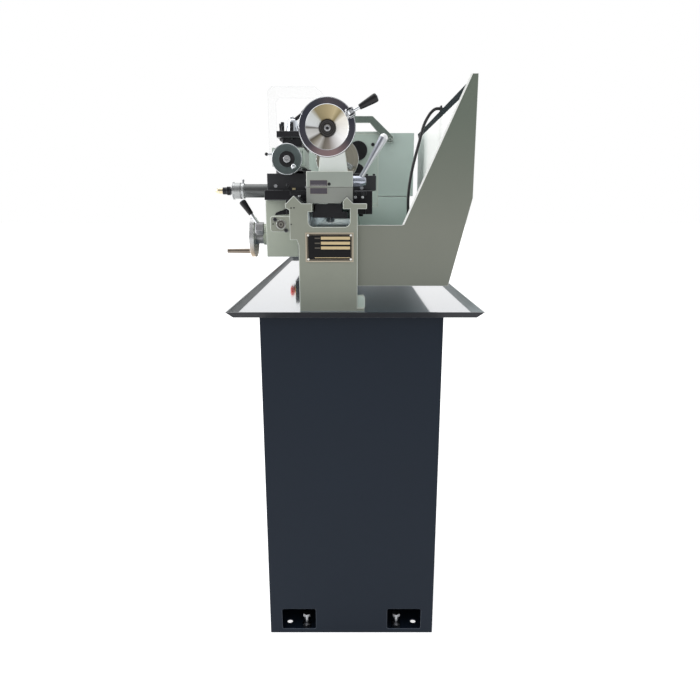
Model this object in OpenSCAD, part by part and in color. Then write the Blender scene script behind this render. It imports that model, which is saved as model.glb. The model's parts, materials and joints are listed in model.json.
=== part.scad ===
// Bench lathe on a two-cabinet stand.
// X runs along the spindle towards the tailstock, Y towards the splash guard, Z up from the floor.

/* [Stand] */
// Width of each cabinet, front to back
stand_w = 410; // [390:5:430]
// Height of the cabinets
stand_h = 820; // [780:10:860]
// Distance between the outer end faces of the two cabinets
stand_l = 1360; // [1340:10:1380]
// Length of each cabinet
cabinet_l = 350; // [330:10:370]
// Sheet thickness of the cabinets
cabinet_t = 3; // [2:0.5:4]
// Width of the hand windows near the floor
window_w = 85; // [70:1:95]
// Height of the hand windows
window_h = 57.5; // [45:0.5:65]
// Height of the window sill above the floor
window_z = 11.5; // [9:0.5:20]
// Distance of each window from the side of the cabinet
window_inset = 30; // [25:1:35]
// Radius of the floor bolt holes
anchor_r = 7; // [5:0.5:8]
// Distance of the floor bolt holes from the cabinet's end faces
anchor_in_x = 40; // [30:1:60]
// Distance of the floor bolt holes from the cabinet's sides
anchor_in_y = 45; // [35:1:55]
// Thickness of the doors' sheet
door_t = 2; // [1.5:0.5:3]
// Depth of the doors' folded edge
door_d = 14; // [12:1:20]

/* [Tray and splash guard] */
// Thickness of the chip tray's sheet
tray_t = 2; // [1.5:0.5:3]
// Length of the tray over its lips
tray_l = 1440; // [1400:5:1480]
// Width of the tray over its lips
tray_w = 561; // [550:1:580]
// Height of the tray's sloped lip
tray_lip = 12.5; // [8:0.5:18]
// Thickness of the splash guard's sheet
guard_t = 2; // [1.5:0.5:3]
// Height of the guard's top edge above the ways
guard_up = 267; // [240:1:280]
// Depth of the hem along the guard's top edge
guard_fold = 5; // [4:1:8]
// Width of the guard's end plate at its top
guard_plate_top = 16; // [12:1:25]

/* [Bed] */
// Length of the bed
bed_l = 1178; // [1170:1:1190]
// Depth of the bed's side walls below the ways
bed_d = 79; // [74:1:84]
// Height of the feet under the bed
foot_h = 161; // [150:1:170]
// Length of each foot
foot_l = 200; // [180:5:210]
// Width of the ways, front edge to rear edge
way_w = 180; // [176:1:184]
// Height of the front V
v_front_h = 17; // [14:0.5:17]
// Height of the rear V
v_rear_h = 14; // [11:0.5:14]

/* [Headstock] */
// Height of the spindle axis above the ways
centre_h = 152; // [148:1:160]
// Length of the headstock
head_l = 230; // [220:1:240]
// Radius of the spindle's bore
spindle_bore_r = 19; // [16:0.5:20]
// Outer radius of the spindle
spindle_r = 26; // [25:0.5:28]
// Outer radius of the spindle bearings
bearing_r = 45; // [40:1:48]
// Radius of the chuck
chuck_r = 75; // [70:1:80]
// Length of the chuck's body
chuck_l = 60; // [50:1:66]

/* [Drive] */
// Tooth module of the gears
tooth_m = 2; // [2:1:2]
// Teeth of the spindle gear
teeth_spindle = 40; // [38:1:42]
// Teeth of the idler gear
teeth_idler = 70; // [68:1:72]
// Teeth of the leadscrew gear
teeth_screw = 48; // [46:1:50]
// Running radius of the spindle pulley
pulley_r = 60; // [55:1:62]
// Running radius of the motor pulley
motor_pulley_r = 34; // [30:1:38]
// Radius of the motor's body
motor_r = 58; // [50:1:60]
// Length of the motor's body
motor_l = 190; // [160:5:195]

/* [Carriage] */
// Place of the carriage's middle along the bed
carriage_x = 390; // [360:1:392]
// Length of the saddle along the bed
saddle_l = 220; // [200:2:220]
// Length of the saddle's bridge along the bed
bridge_l = 110; // [104:2:116]
// Length of the apron along the bed
apron_l = 150; // [146:1:156]
// Radius of the leadscrew
screw_r = 10; // [8:0.5:10.5]
// Radius of the apron's handwheel
apron_wheel_r = 52; // [45:1:56]
// Width of the cross slide along the bed
cross_w = 100; // [90:1:104]
// Height of the cross slide's body
cross_h = 41; // [38:1:44]
// Side length of the square tool post
post_w = 75; // [74:1:84]
// Width of the slots for the tools
post_slot = 22; // [16:1:25]
// Radius of the compound's handwheel
compound_wheel_r = 35; // [30:1:37]

/* [Tailstock] */
// Place of the tailstock's end face that looks at the chuck
tail_x = 475; // [474:1:480]
// Length of the tailstock's base
tail_l = 130; // [120:1:135]
// Radius of the quill
quill_r = 17.5; // [15:0.5:19]
// Radius of the barrel round the quill
barrel_r = 32; // [28:1:33]
// Radius of the tailstock's handwheel
tail_wheel_r = 59; // [54:1:62]

/* [Fits] */
// Running clearance of shafts, all round
run = 0.05; // [0.03:0.01:0.08]
// Gap between a slide and its way
slip = 0.2; // [0.1:0.05:0.25]
// Gap between parts that pass each other
gap = 0.3; // [0.3:0.05:0.5]

/* [Hidden] */
$fn = 48;

dark = "#2a303a";
green = "#93a399";
iron = "#26272a";
steel = "#b9bcc0";

// Stand and tray
cab_x1 = stand_l / 2;
cab_x0 = cab_x1 - cabinet_l;
anchor_x = cab_x1 - anchor_in_x;
anchor_x2 = cab_x0 + anchor_in_x;
anchor_y = stand_w / 2 - anchor_in_y;
window_y = stand_w / 2 - window_inset - window_w / 2;
window_corner = 5;
level_x = cab_x1 - 22;
level_y = window_y - 18;
level_r = 6;
level_h = 34;
door_gap = 2.5;
pin_r = 3;
door_pin_in = 5;
door_pin_x = cab_x1 - cabinet_t - door_gap - door_pin_in;
door_pin_y = -stand_w / 2 + door_pin_in;
knob_r = 12;
knob_l = 20;
tray_y = 7.5;
control_x0 = -505;
control_x1 = -355;
control_y0 = -218;
control_z0 = stand_h + 60;
control_z1 = stand_h + 145;
stop_x = control_x0 + 115;
start_x = control_x0 + 72;
speed_x = control_x0 + 32;
stop_r = 20;
start_r = 9;
speed_r = 14;
press = 4;
foot_z = stand_h + tray_t;
bolt_r = 4;
bolt_nut_h = 6.5;

// Bed
bed_x1 = cab_x1 - 42;
bed_x0 = bed_x1 - bed_l;
bed_z = foot_z + foot_h;
way_z = bed_z + bed_d;
way_y0 = -146;
way_y1 = way_y0 + way_w;
v_front_y = -127;
v_rear_y = -10;
wall_y0 = -137;
wall_in0 = -95.8;
lip_y0 = -87;
lip_t = 18.3;
wall_in1 = -3.3;
wall_y1 = 13.5;
lip_y1 = -18.7;
way_t = 12;
foot_y0 = -118;
foot_wall = 14;
foot_flange_t = 8;
foot_flange_w = 16;
foot_bolt_x = 70;
bed_window_z = bed_z + 28.4;
bed_window_corner = 12;
bed_end_t = 12;
rib_t = 10;
rib_step = 96;
rib_z = bed_z + 24;
shelf_t = 10;
plate_w = 107;
plate_h = 65;
plate_t = 1.5;
plate_y = -49;
plate_z = bed_z - 16.15;

// Headstock and spindle
spindle_y = -50;
spindle_z = way_z + centre_h;
head_x0 = bed_x0;
head_x1 = bed_x0 + head_l;
head_y0 = spindle_y - 110;
head_y1 = spindle_y + 148;
head_lid_t = 8;
head_z1 = spindle_z + 102;
head_wall = 18;
bearing_w = 22;
nose_r = 46;
nose_t = 14;
nose_x0 = head_x1 + 1;
nose_x1 = nose_x0 + nose_t;
backplate_t = 15;
chuck_x0 = nose_x1 + backplate_t;
chuck_x1 = chuck_x0 + chuck_l;
chuck_bore_r = 20;
jaw_w = 16;
jaw_r0 = 14;
jaw_l = 46;
jaw_slot_d = 16;
jaw_out = 24;
// Round covers on the headstock's end: Y, height above the spindle axis, radius
shaft_covers = [[24, 36, 34], [20, -37, 28]];

// Gear side
cover_x0 = head_x0 - 100;
cover_x1 = head_x0 - 3;
cover_t = 3;
cover_y0 = -215;
cover_y1 = 230;
cover_z0 = way_z - 112;
cover_z1 = head_z1 + 4;
pulley_x0 = head_x0 - 23;
pulley_w = 17;
gear_x0 = head_x0 - 46;
gear_w = 16;
spindle_x0 = head_x0 - 66;
cover_pin_x = head_x0 - 12;
cover_pin_y = cover_y1 - 9;
cover_pin_r = 4;
knuckle_r = 7;
knuckle_h = 16;
knuckle_z = [head_z1 - 200, head_z1 - 30];

// Motor side
motor_y = 165;
motor_z = spindle_z - 34;
motor_shaft_r = 9.5;
cover_side_t = 2.5;
side_y1 = 228;
side_z0 = way_z + 27;
side_z1 = head_z1 - 5;
box_z0 = foot_z + 59;
box_y1 = 214;
belt_t = 5;

// Splash guard, seen along the bed
guard_x0 = head_x0 + 10;
guard_x1 = bed_x1 - 13;
guard_y1 = 268.6;
guard_z0 = foot_z + 56.5;
guard_z1 = way_z + guard_up;
guard_knee_z = way_z + 11.7;
guard_low_y = 221;
guard_front_y = 113;
guard_front_z = way_z - 47;

// Leadscrew
screw_y = -156;
screw_z = way_z - 45;
bracket_y0 = -180;
bracket_z0 = screw_z - 16.5;
bracket_z1 = screw_z + 18;
bracket_x = bed_x1 - 32;
bracket_l = 30;
bracket_corner = 7;

// Carriage
wing_y0 = -210;
wing_y1 = 50.5;
saddle_z1 = way_z + 31.5;
saddle_x0 = carriage_x - saddle_l / 2;
saddle_x1 = carriage_x + saddle_l / 2;
bridge_x0 = carriage_x - bridge_l / 2;
bridge_x1 = carriage_x + bridge_l / 2;
wing_front_in = -103;
wing_rear_in = 4;
wing_z0 = way_z + 8;
dove_z1 = saddle_z1 + 12;
dove_w0 = 24;
dove_w1 = 30;
cross_room = 19;
trough_w = 9;
trough_z = way_z + 21.5;
feed_r = 6;
feed_z = saddle_z1;
dial_y = wing_y0 - 65;
dial_r = 20;
housing_r = 17;

apron_x0 = carriage_x - apron_l / 2;
apron_x1 = carriage_x + apron_l / 2;
apron_y0 = -213;
apron_y1 = -147;
apron_y2 = -134;
apron_z0 = way_z - 131;
apron_z1 = wing_z0;
apron_wall = 10;
apron_front_t = 12;
pinion_teeth = 14;
wheel_teeth = 12;
big_teeth = 34;
pinion_r = pinion_teeth * tooth_m / 2;
pinion_z = screw_z - screw_r - 13;
wheel_z = pinion_z - 20.5;
gear_d = (wheel_teeth + big_teeth) * tooth_m / 2;
wheel_x = carriage_x - 40;
pinion_x = wheel_x + sqrt(gear_d * gear_d - pow(pinion_z - wheel_z, 2));
wheel_y = -262;
shaft_r = 8;
pinion_shaft_r = 5.5;
rack_y0 = -145.5;
rack_z = pinion_z + pinion_r;
rack_x0 = pinion_x - 470;
rack_x1 = pinion_x + 60;
big_y = -190;
nut_x = apron_x1 - apron_wall - 13;
nut_l = 21;
nut_y0 = -172;
nut_y1 = -146.2;
nut_open = 9;
nut_h = 28;
lever_z = way_z - 62;

// Cross slide, compound and tool post
cross_y0 = -210.5;
cross_y1 = 61.5;
cross_z0 = saddle_z1 + slip;
cross_z1 = saddle_z1 + cross_h;
swivel_y = -148;
swivel_r = 45;
swivel_h = 11;
spigot_r = 12;
spigot_h = 8;
top_dove_w0 = 20;
top_dove_w1 = 25;
top_room = 24;
top_z0 = cross_z1 + slip + swivel_h;
top_x0 = carriage_x - 40;
top_x1 = carriage_x + 140;
base_x1 = top_x1 - 38;
top_w = 37;
top_h = 42;
top_z1 = top_z0 + top_h;
top_dove_h = 12;
top_screw_z = top_z0 + 15;
top_screw_r = 5;
post_z0 = top_z1 + slip;
post_z1 = post_z0 + 48;
post_slot_z = post_z0 + 11;
post_core = 50;
stud_r = 9;
stud_top = post_z1 + 22;

// Tailstock
tail_x1 = tail_x + tail_l;
tail_y0 = -101;
tail_y1 = 3;
tail_split = way_z + 35.7;
tail_top = way_z + 69.5;
neck_z = way_z + 114;
neck_x0 = tail_x + 15;
neck_x1 = tail_x1 - 15;
barrel_x0 = tail_x - 5;
barrel_x1 = tail_x1 + 35;
quill_x0 = barrel_x0 - 15;
quill_x1 = barrel_x0 + 150;
quill_screw_r = 8;
tail_wheel_x = barrel_x1 + 28;
tail_wheel_w = 24;
clamp_x = tail_x + 65;
clamp_z = way_z + 50;
clamp_r = 8.7;
handle_a = atan2(27, 49);
handle_r = 54;
handle_x = tail_wheel_x + tail_wheel_w + 12;
handle_eye = 7;
lock_x = tail_x + 30;

// Chuck guard
arm_x = head_x1;
arm_y = 139;
arm_z = spindle_z + 73;
bar_y0 = -55;
bar_y1 = -41;
bar_z0 = spindle_z + 130;
bar_z1 = spindle_z + 152.5;
shield_t = 3;
shield_x0 = head_x1 - 40;
shield_x1 = shield_x0 + 220;
shield_y = -275;
shield_z1 = spindle_z + 220;

// Lead over the splash guard
lead_d = 9;
gland_y = 120;
gland_z = box_z0 + 79;
lead_sides = 10;
lead_points = [
    [-316, 120, 960], [-300, 120, 960], [-280, 121, 957], [-262, 123, 945], [-248, 126, 925],
    [-232, 130, 905], [-212, 136, 892], [-185, 142, 887], [-150, 147, 886], [-100, 152, 886],
    [-50, 157, 886], [-5, 162, 887], [28, 167, 893], [52, 171, 912], [68, 174, 945],
    [76, 176, 985], [80, 176, 1036], [82, 175, 1072], [84, 178, 1117], [86, 188, 1176],
    [88, 206, 1248], [89, 217, 1290], [90, 231, 1317], [90, 241, 1329], [90, 250, 1335],
    [90, 260, 1336], [90, 270, 1335], [90, 278, 1328], [90, 281, 1316], [90, 281, 1296],
    [90, 281, 1262]
];

// Extrusions along an axis of the machine
module along_x(x0, x1) translate([x0, 0, 0]) rotate([90, 0, 90]) linear_extrude(x1 - x0) children();
module along_y(y0, y1) translate([0, y1, 0]) rotate([90, 0, 0]) linear_extrude(y1 - y0) children();
module rod_x(x0, x1, r) translate([x0, 0, 0]) rotate([0, 90, 0]) cylinder(r = r, h = x1 - x0);
module rod_y(y0, y1, r) translate([0, y0, 0]) rotate([-90, 0, 0]) cylinder(r = r, h = y1 - y0);
module rod_z(z0, z1, r) translate([0, 0, z0]) cylinder(r = r, h = z1 - z0);
module cone_x(x0, x1, r0, r1) translate([x0, 0, 0]) rotate([0, 90, 0]) cylinder(r1 = r0, r2 = r1, h = x1 - x0);
module cone_y(y0, y1, r0, r1) translate([0, y0, 0]) rotate([-90, 0, 0]) cylinder(r1 = r0, r2 = r1, h = y1 - y0);
module hex_z(z0, z1, r) translate([0, 0, z0]) cylinder(r = r, h = z1 - z0, $fn = 6);
module block(a, b) translate(a) cube(b - a);

// A rod between two points
module rod_between(a, b, r1, r2) {
    d = b - a;
    translate(a)
        rotate([0, acos(d[2] / norm(d)), atan2(d[1], d[0])])
        cylinder(r1 = r1, r2 = r2, h = norm(d));
}

// The outline of a spur gear: a tooth points along the local X axis
function involute(a) = tan(a) * 180 / PI - a;
function flank(r, rb) = let(a = r > rb ? acos(rb / r) : 0) involute(a);
function gear_points(teeth, play = 0.5) =
    let(
        rp = teeth * tooth_m / 2,
        rb = rp * cos(20),
        rr = rp - 1.25 * tooth_m,
        rt = rp + 0.9 * tooth_m,
        half = 90 / teeth - play / rp * 90 / PI,
        base = half + flank(rp, rb),
        radii = [max(rb, rr), rp, rt]
    )
    [for (i = [0 : teeth - 1]) let(a = i * 360 / teeth) each concat(
        [polar(rr, a - base)],
        [for (r = radii) polar(r, a - base + flank(r, rb))],
        [for (k = [2 : -1 : 0]) polar(radii[k], a + base - flank(radii[k], rb))],
        [polar(rr, a + base)]
    )];
function polar(r, a) = [r * cos(a), r * sin(a)];

// The direction of the tooth on gear B when gear A, in the direction f, has its tooth at a
function mesh_angle(a, f, ta, tb) = f + 180 + (f - a) * ta / tb + 180 / tb;

// Stand

module cabinet() {
    difference() {
        block([cab_x0, -stand_w / 2, 0], [cab_x1, stand_w / 2, stand_h]);
        block([cab_x0 + cabinet_t, -stand_w / 2 - 1, cabinet_t],
            [cab_x1 - cabinet_t, stand_w / 2 - cabinet_t, stand_h - cabinet_t]);
        for (side = [-1, 1])
            along_x(cab_x1 - cabinet_t - 1, cab_x1 + 1)
                translate([side * window_y, window_z + window_h / 2])
                    rounded(window_w, window_h, window_corner);
        for (x = [anchor_x, anchor_x2], y = [-anchor_y, anchor_y])
            translate([x, y, 0]) rod_z(-1, cabinet_t + 1, anchor_r);
        for (y = [-level_y, level_y])
            translate([level_x, y, 0]) rod_z(-1, cabinet_t + 1, level_r + run);
    }
    translate([door_pin_x, door_pin_y, 0]) {
        rod_z(cabinet_t - 1, cabinet_t + 12, pin_r);
        rod_z(stand_h - cabinet_t - 12, stand_h - cabinet_t + 1, pin_r);
    }
}

module rounded(w, h, r) {
    square([w, h - 2 * r], center = true);
    square([w - 2 * r, h], center = true);
    for (x = [-1, 1], y = [-1, 1])
        translate([x * (w / 2 - r), y * (h / 2 - r)]) circle(r);
}

module foot_bolts() {
    for (x = [-foot_bolt_x, foot_bolt_x],
        y = [foot_y0 + foot_wall + foot_flange_w / 2, wall_y1 + foot_flange_w / 2])
        translate([bed_x1 - foot_l / 2 + x, y, 0]) children();
}

module door() {
    z0 = cabinet_t + door_gap;
    z1 = stand_h - cabinet_t - door_gap;
    x0 = cab_x0 + cabinet_t + door_gap;
    x1 = door_pin_x + door_pin_in;
    y0 = -stand_w / 2;
    difference() {
        union() {
            difference() {
                block([x0, y0, z0], [x1, y0 + door_d, z1]);
                block([x0 + door_t, y0 + door_t, z0 + door_t], [x1 - door_t, y0 + door_d + 1, z1 - door_t]);
            }
            for (z = [z0, z1 - knuckle_h])
                block([x1 - 2 * door_pin_in, y0, z], [x1, y0 + 2 * door_pin_in, z + knuckle_h]);
            translate([x0 + 30, 0, stand_h * 0.55]) {
                rod_y(y0 - knob_l + 8, y0 + 0.5, knob_r * 0.45);
                rod_y(y0 - knob_l, y0 - knob_l + 9, knob_r);
            }
        }
        translate([door_pin_x, door_pin_y, 0]) rod_z(-1, stand_h + 1, pin_r + run);
    }
}

module bolt_holes() rod_z(stand_h - cabinet_t - 1, stand_h + 1, bolt_r + run);

module stand_cabinet_right() color(dark) difference() {
    cabinet();
    foot_bolts() bolt_holes();
}

module stand_cabinet_left() color(dark) difference() {
    mirror([1, 0, 0]) cabinet();
    left_foot() foot_bolts() bolt_holes();
}

module stand_door_right() color(dark) door();
module stand_door_left() color(dark) mirror([1, 0, 0]) door();

module chip_tray() color(dark) {
    z1 = foot_z + tray_lip;
    wall = tray_t * sqrt(2);
    difference() {
        hull() {
            tray_plan(-tray_lip - tray_t, stand_h);
            tray_plan(0, z1 - 0.01);
        }
        hull() {
            tray_plan(-tray_lip - wall, foot_z);
            tray_plan(1 - wall, z1 + 1);
        }
        both_feet() foot_bolts() rod_z(stand_h - 1, foot_z + 1, bolt_r + run);
    }
}

module tray_plan(grow, z)
    translate([0, tray_y, z])
        linear_extrude(0.01) square([tray_l + 2 * grow, tray_w + 2 * grow], center = true);

// Moves what belongs to the right foot to the left foot, or repeats it there
module left_foot() translate([foot_l - bed_l, 0, 0]) children();
module both_feet() {
    children();
    left_foot() children();
}

// Bolts of the feet, levelling screws with their nuts, and the splash guard's screws
module frame_fasteners() color(steel) {
    z_top = foot_z + foot_flange_t;
    z_bot = stand_h - cabinet_t;
    both_feet() foot_bolts() {
        rod_z(z_bot - bolt_nut_h - 3, z_top + 1, bolt_r);
        hex_z(z_top, z_top + 5, bolt_r * 1.85);
        hex_z(z_bot - bolt_nut_h, z_bot, bolt_r * 1.85);
    }
    for (x = [-level_x, level_x], y = [-level_y, level_y])
        translate([x, y, 0]) {
            rod_z(0, level_h + 1, level_r);
            hex_z(level_h, level_h + 8, level_r * 1.75);
            hex_z(cabinet_t, cabinet_t + 9, level_r * 1.75);
        }
    for (x = guard_screw_x())
        translate([x, 0, bed_z + 17]) {
            rod_y(wall_y1 - 9, wall_y1 + guard_t + 1, 3);
            rod_y(wall_y1 + guard_t, wall_y1 + guard_t + 3.5, 5.5);
        }
}
function guard_screw_x() = [for (k = [0 : 4]) guard_x0 + 45 + k * (guard_x1 - guard_x0 - 100) / 4];

// Splash guard: one folded back sheet, and an end plate at the tailstock end
module splash_guard() color(green) {
    y1 = guard_y1;
    t = guard_t;
    y0 = wall_y1;
    difference() {
        union() {
            along_x(guard_x0, guard_x1)
                strip([[y0, guard_front_z], [y0, guard_z0], [guard_low_y, guard_z0], [y1, guard_knee_z],
                    [y1, guard_z1], [y1 - guard_fold, guard_z1]], t);
            along_x(guard_x1 - t, guard_x1)
                polygon([[y0, guard_z0], [guard_low_y, guard_z0], [y1, guard_knee_z], [y1, guard_z1],
                    [y1 - guard_plate_top, guard_z1], [guard_front_y, guard_front_z], [y0, guard_front_z]]);
        }
        for (x = guard_screw_x())
            translate([x, 0, bed_z + 17]) rod_y(wall_y1 - 1, wall_y1 + guard_t + 1, 3 + run);
    }
}

// A bent sheet: the path is one face, and the sheet lies to its left for a positive thickness
module strip(path, t)
    polygon(concat(path, [for (k = [len(path) - 1 : -1 : 0]) path[k] + t * miter(path, k)]));
function miter(path, k) =
    let(
        last = len(path) - 1,
        before = unit(path[k] - path[max(k - 1, 0)], path[min(k + 1, last)] - path[k]),
        after = unit(path[min(k + 1, last)] - path[k], path[k] - path[max(k - 1, 0)]),
        m = [-before[1] - after[1], before[0] + after[0]]
    )
    m / (1 + before * after);
function unit(v, other) = norm(v) > 0 ? v / norm(v) : other / norm(other);

// Bed: two walls under the ways, joined by ribs and end walls, on two hollow feet
module bed() color(green) {
    difference() {
        union() {
            along_x(bed_x0, bed_x1) way_front();
            along_x(bed_x0, bed_x1) way_rear();
            for (x = [bed_x0, bed_x1 - bed_end_t]) along_x(x, x + bed_end_t) window_sill();
            for (x = [bed_x0 + foot_l + 40 : rib_step : bed_x1 - foot_l - 40])
                block([x, wall_in0 - 1, bed_z], [x + rib_t, wall_in1 + 1, rib_z]);
            both_feet() foot();
        }
        both_feet() {
            block([bed_x1 - foot_l + foot_wall, foot_y0 + foot_wall + foot_flange_w, foot_z - 1],
                [bed_x1 - foot_wall, wall_y1 - foot_wall, bed_z - foot_wall]);
            block([bed_x1 - foot_l + foot_wall, foot_y0 + foot_wall, foot_z + foot_flange_t],
                [bed_x1 - foot_wall, wall_y1 - foot_wall, bed_z - foot_wall]);
        }
        for (x = guard_screw_x())
            translate([x, 0, bed_z + 17]) rod_y(wall_y1 - 9, wall_y1 + 1, 3 + run);
        both_feet() foot_bolts() rod_z(foot_z - 1, foot_z + foot_flange_t + 1, bolt_r + run);
    }
}

// Wall under the window in each end of the bed, with round corners
module window_sill() {
    w = wall_in1 - wall_in0;
    difference() {
        translate([wall_in0 - 1, bed_z]) square([w + 2, bed_window_z + bed_window_corner - bed_z]);
        translate([wall_in0 + w / 2, bed_window_z + w / 2]) rounded(w, w, bed_window_corner);
    }
}

module way_front() {
    polygon([
        [wall_y0, bed_z], [wall_y0, way_z - lip_t + 4], [way_y0, way_z - lip_t + 9], [way_y0, way_z],
        [v_front_y - v_front_h, way_z], [v_front_y - 1, way_z + v_front_h - 1],
        [v_front_y + 1, way_z + v_front_h - 1], [v_front_y + v_front_h, way_z], [lip_y0, way_z],
        [lip_y0, way_z - lip_t], [wall_in0, way_z - lip_t], [wall_in0, bed_z]
    ]);
}

module way_rear() {
    flat = 2;
    top = way_z + v_rear_h;
    polygon([
        [wall_y1, bed_z], [wall_y1, way_z - way_t], [way_y1, way_z - way_t], [way_y1, way_z],
        [v_rear_y + v_rear_h, way_z], [v_rear_y + flat, top - flat], [v_rear_y + flat / 2, top - 0.5],
        [v_rear_y - flat / 2, top - 0.5], [v_rear_y - flat, top - flat],
        [lip_y1, top + lip_y1 - v_rear_y], [lip_y1, way_z - way_t], [wall_in1, way_z - way_t],
        [wall_in1, bed_z]
    ]);
}

// Foot: its front flange is inside it, its rear flange outside, and a shelf under the ribs closes its top
module foot() {
    x0 = bed_x1 - foot_l;
    block([x0, foot_y0, foot_z], [bed_x1, wall_y1, bed_z + 1]);
    along_x(x0, bed_x1)
        polygon([[wall_y0, bed_z], [foot_y0 - 4, bed_z], [foot_y0, bed_z - 12], [foot_y0 + 1, bed_z - 12],
            [foot_y0 + 1, bed_z + 1], [wall_y0, bed_z + 1]]);
    block([x0, wall_in0 - 1, bed_z], [bed_x1, wall_in1 + 1, bed_z + shelf_t]);
    block([x0, wall_y1 - 1, foot_z], [bed_x1, wall_y1 + foot_flange_w, foot_z + foot_flange_t]);
}

module nameplate() {
    color("#1c1d20")
        block([bed_x1, plate_y - plate_w / 2, plate_z - plate_h / 2],
            [bed_x1 + plate_t, plate_y + plate_w / 2, plate_z + plate_h / 2]);
    color(steel)
        for (y = [-1, 1], z = [-1, 1])
            translate([0, plate_y + y * (plate_w / 2 - 6), plate_z + z * (plate_h / 2 - 6)])
                rod_x(bed_x1 + plate_t, bed_x1 + plate_t + 1.5, 2.5);
}

// End bracket of the leadscrew at the tailstock end, and the bracket with the gear quadrant at the other
module leadscrew_brackets() color(green) {
    y1 = wall_y0;
    w = y1 - bracket_y0;
    h = bracket_z1 - bracket_z0;
    left_x = bed_x0 + 10;
    idler = idler_centre();
    difference() {
        union() {
            for (x = [bracket_x, left_x])
                along_x(x, x + bracket_l) union() {
                    translate([bracket_y0 + w / 2, bracket_z0 + h / 2]) rounded(w, h, bracket_corner);
                    translate([y1 - w / 2, bracket_z0]) square([w / 2, h]);
                }
            translate([0, screw_y, screw_z]) rod_x(quadrant_x0(), left_x + 1, screw_r + 8);
            along_x(quadrant_x0(), quadrant_x0() + 9)
                hull() {
                    translate([screw_y, screw_z]) circle(screw_r + 8);
                    translate(idler) circle(14);
                }
            translate([0, idler[0], idler[1]]) rod_x(gear_x0 - 6, quadrant_x0() + 1, 8);
        }
        translate([0, screw_y, screw_z]) rod_x(bed_x0 - 80, bed_x1 + 40, screw_r + run);
    }
    translate([0, screw_y, screw_z])
        for (p = [[-13, 10.6], [11, -13.2]])
            translate([0, p[0], p[1]]) rod_x(bracket_x + bracket_l, bracket_x + bracket_l + 3.5, 4.5);
}
function quadrant_x0() = gear_x0 + gear_w + 1;

// Where the idler's stud sits so that it meshes with both its neighbours
function idler_centre() =
    let(
        a = [spindle_y, spindle_z],
        b = [screw_y, screw_z],
        d = norm(b - a),
        ra = (teeth_spindle + teeth_idler) * tooth_m / 2,
        rb = (teeth_idler + teeth_screw) * tooth_m / 2,
        along = (ra * ra - rb * rb + d * d) / (2 * d),
        off = sqrt(ra * ra - along * along),
        u = (b - a) / d
    )
    a + u * along + [-u[1], u[0]] * off;

module rack() color(steel) {
    teeth = floor((rack_x1 - rack_x0) / (PI * tooth_m));
    pitch = PI * tooth_m;
    first = pinion_x - pitch * floor((pinion_x - rack_x0) / pitch);
    tip = rack_z - 0.9 * tooth_m;
    root = rack_z + 1.25 * tooth_m;
    slope = tan(20);
    half = pitch / 4 - 0.25;
    along_y(rack_y0, wall_y0)
        polygon(concat(
            [[first, root + 13]],
            [for (i = [0 : teeth - 1]) let(x = first + (i + 0.5) * pitch) each [
                [x - half - (root - rack_z) * slope, root],
                [x - half + (rack_z - tip) * slope, tip],
                [x + half - (rack_z - tip) * slope, tip],
                [x + half + (root - rack_z) * slope, root]
            ]],
            [[first + teeth * pitch, root + 13]]
        ));
}

// Headstock casting: a box on the ways with a bearing bore in each end wall
module headstock() color(green) {
    top = head_z1 - head_lid_t;
    difference() {
        union() {
            block([head_x0, head_y0, way_z], [head_x1, head_y1, top]);
            translate([0, spindle_y, spindle_z]) rod_x(head_x0 - 3, head_x0 + 1, bearing_r + 9);
        }
        block([head_x0 + bearing_w + 6, head_y0 + head_wall, way_z + head_wall + 6],
            [head_x1 - bearing_w - 6, head_y1 - head_wall, top + 1]);
        translate([0, spindle_y, spindle_z]) {
            rod_x(head_x0 - 7, head_x1 + 1, spindle_r + 4);
            rod_x(head_x0 + 4, head_x0 + 4 + bearing_w + 3, bearing_r);
            rod_x(head_x1 - bearing_w - 7, head_x1 - 4, bearing_r);
        }
        along_x(head_x0 - 1, head_x1 + 1) {
            v_groove(v_front_y, v_front_h);
            v_groove(v_rear_y, v_rear_h);
        }
    }
    for (p = shaft_covers)
        translate([0, p[0], spindle_z + p[1]]) rod_x(head_x1 - 1, head_x1 + 7, p[2]);
}

module v_groove(y, h)
    polygon([[y - h - 0.8, way_z - 1], [y - h - 0.8, way_z + 0.01], [y, way_z + h + 0.8],
        [y + h + 0.8, way_z + 0.01], [y + h + 0.8, way_z - 1]]);

module headstock_cover() color(green) {
    z = head_z1 - head_lid_t;
    difference() {
        block([head_x0, head_y0, z], [head_x1, head_y1, head_z1]);
        for (x = [head_x0 + 14, head_x1 - 14], y = [head_y0 + 12, head_y1 - 12])
            translate([x, y, 0]) rod_z(head_z1 - 5, head_z1 + 1, 6.5);
    }
    for (x = [head_x0 + 14, head_x1 - 14], y = [head_y0 + 12, head_y1 - 12])
        translate([x, y, 0]) rod_z(head_z1 - 5, head_z1, 5);
}

module spindle() color(steel) {
    translate([0, spindle_y, spindle_z])
        difference() {
            union() {
                rod_x(spindle_x0, nose_x1, spindle_r);
                rod_x(nose_x0, nose_x1, nose_r);
            }
            rod_x(spindle_x0 - 1, nose_x1 + 1, spindle_bore_r);
        }
}

module spindle_bearings() color(steel)
    translate([0, spindle_y, spindle_z])
        for (x = [head_x0 + 4, head_x1 - 4 - bearing_w])
            difference() {
                rod_x(x, x + bearing_w, bearing_r - 0.02);
                rod_x(x - 1, x + bearing_w + 1, spindle_r + run);
            }

module toothed(teeth, angle, r)
    rotate(angle) difference() {
        polygon(gear_points(teeth));
        circle(r);
    }

// Angles of one tooth of each gear at rest, from the line between the gears
function line_a() = let(d = idler_centre() - [spindle_y, spindle_z]) atan2(d[1], d[0]);
function line_b() = let(d = [screw_y, screw_z] - idler_centre()) atan2(d[1], d[0]);
function idler_angle() = mesh_angle(line_a(), line_a(), teeth_spindle, teeth_idler);
function screw_angle() = mesh_angle(idler_angle(), line_b(), teeth_idler, teeth_screw);

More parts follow.
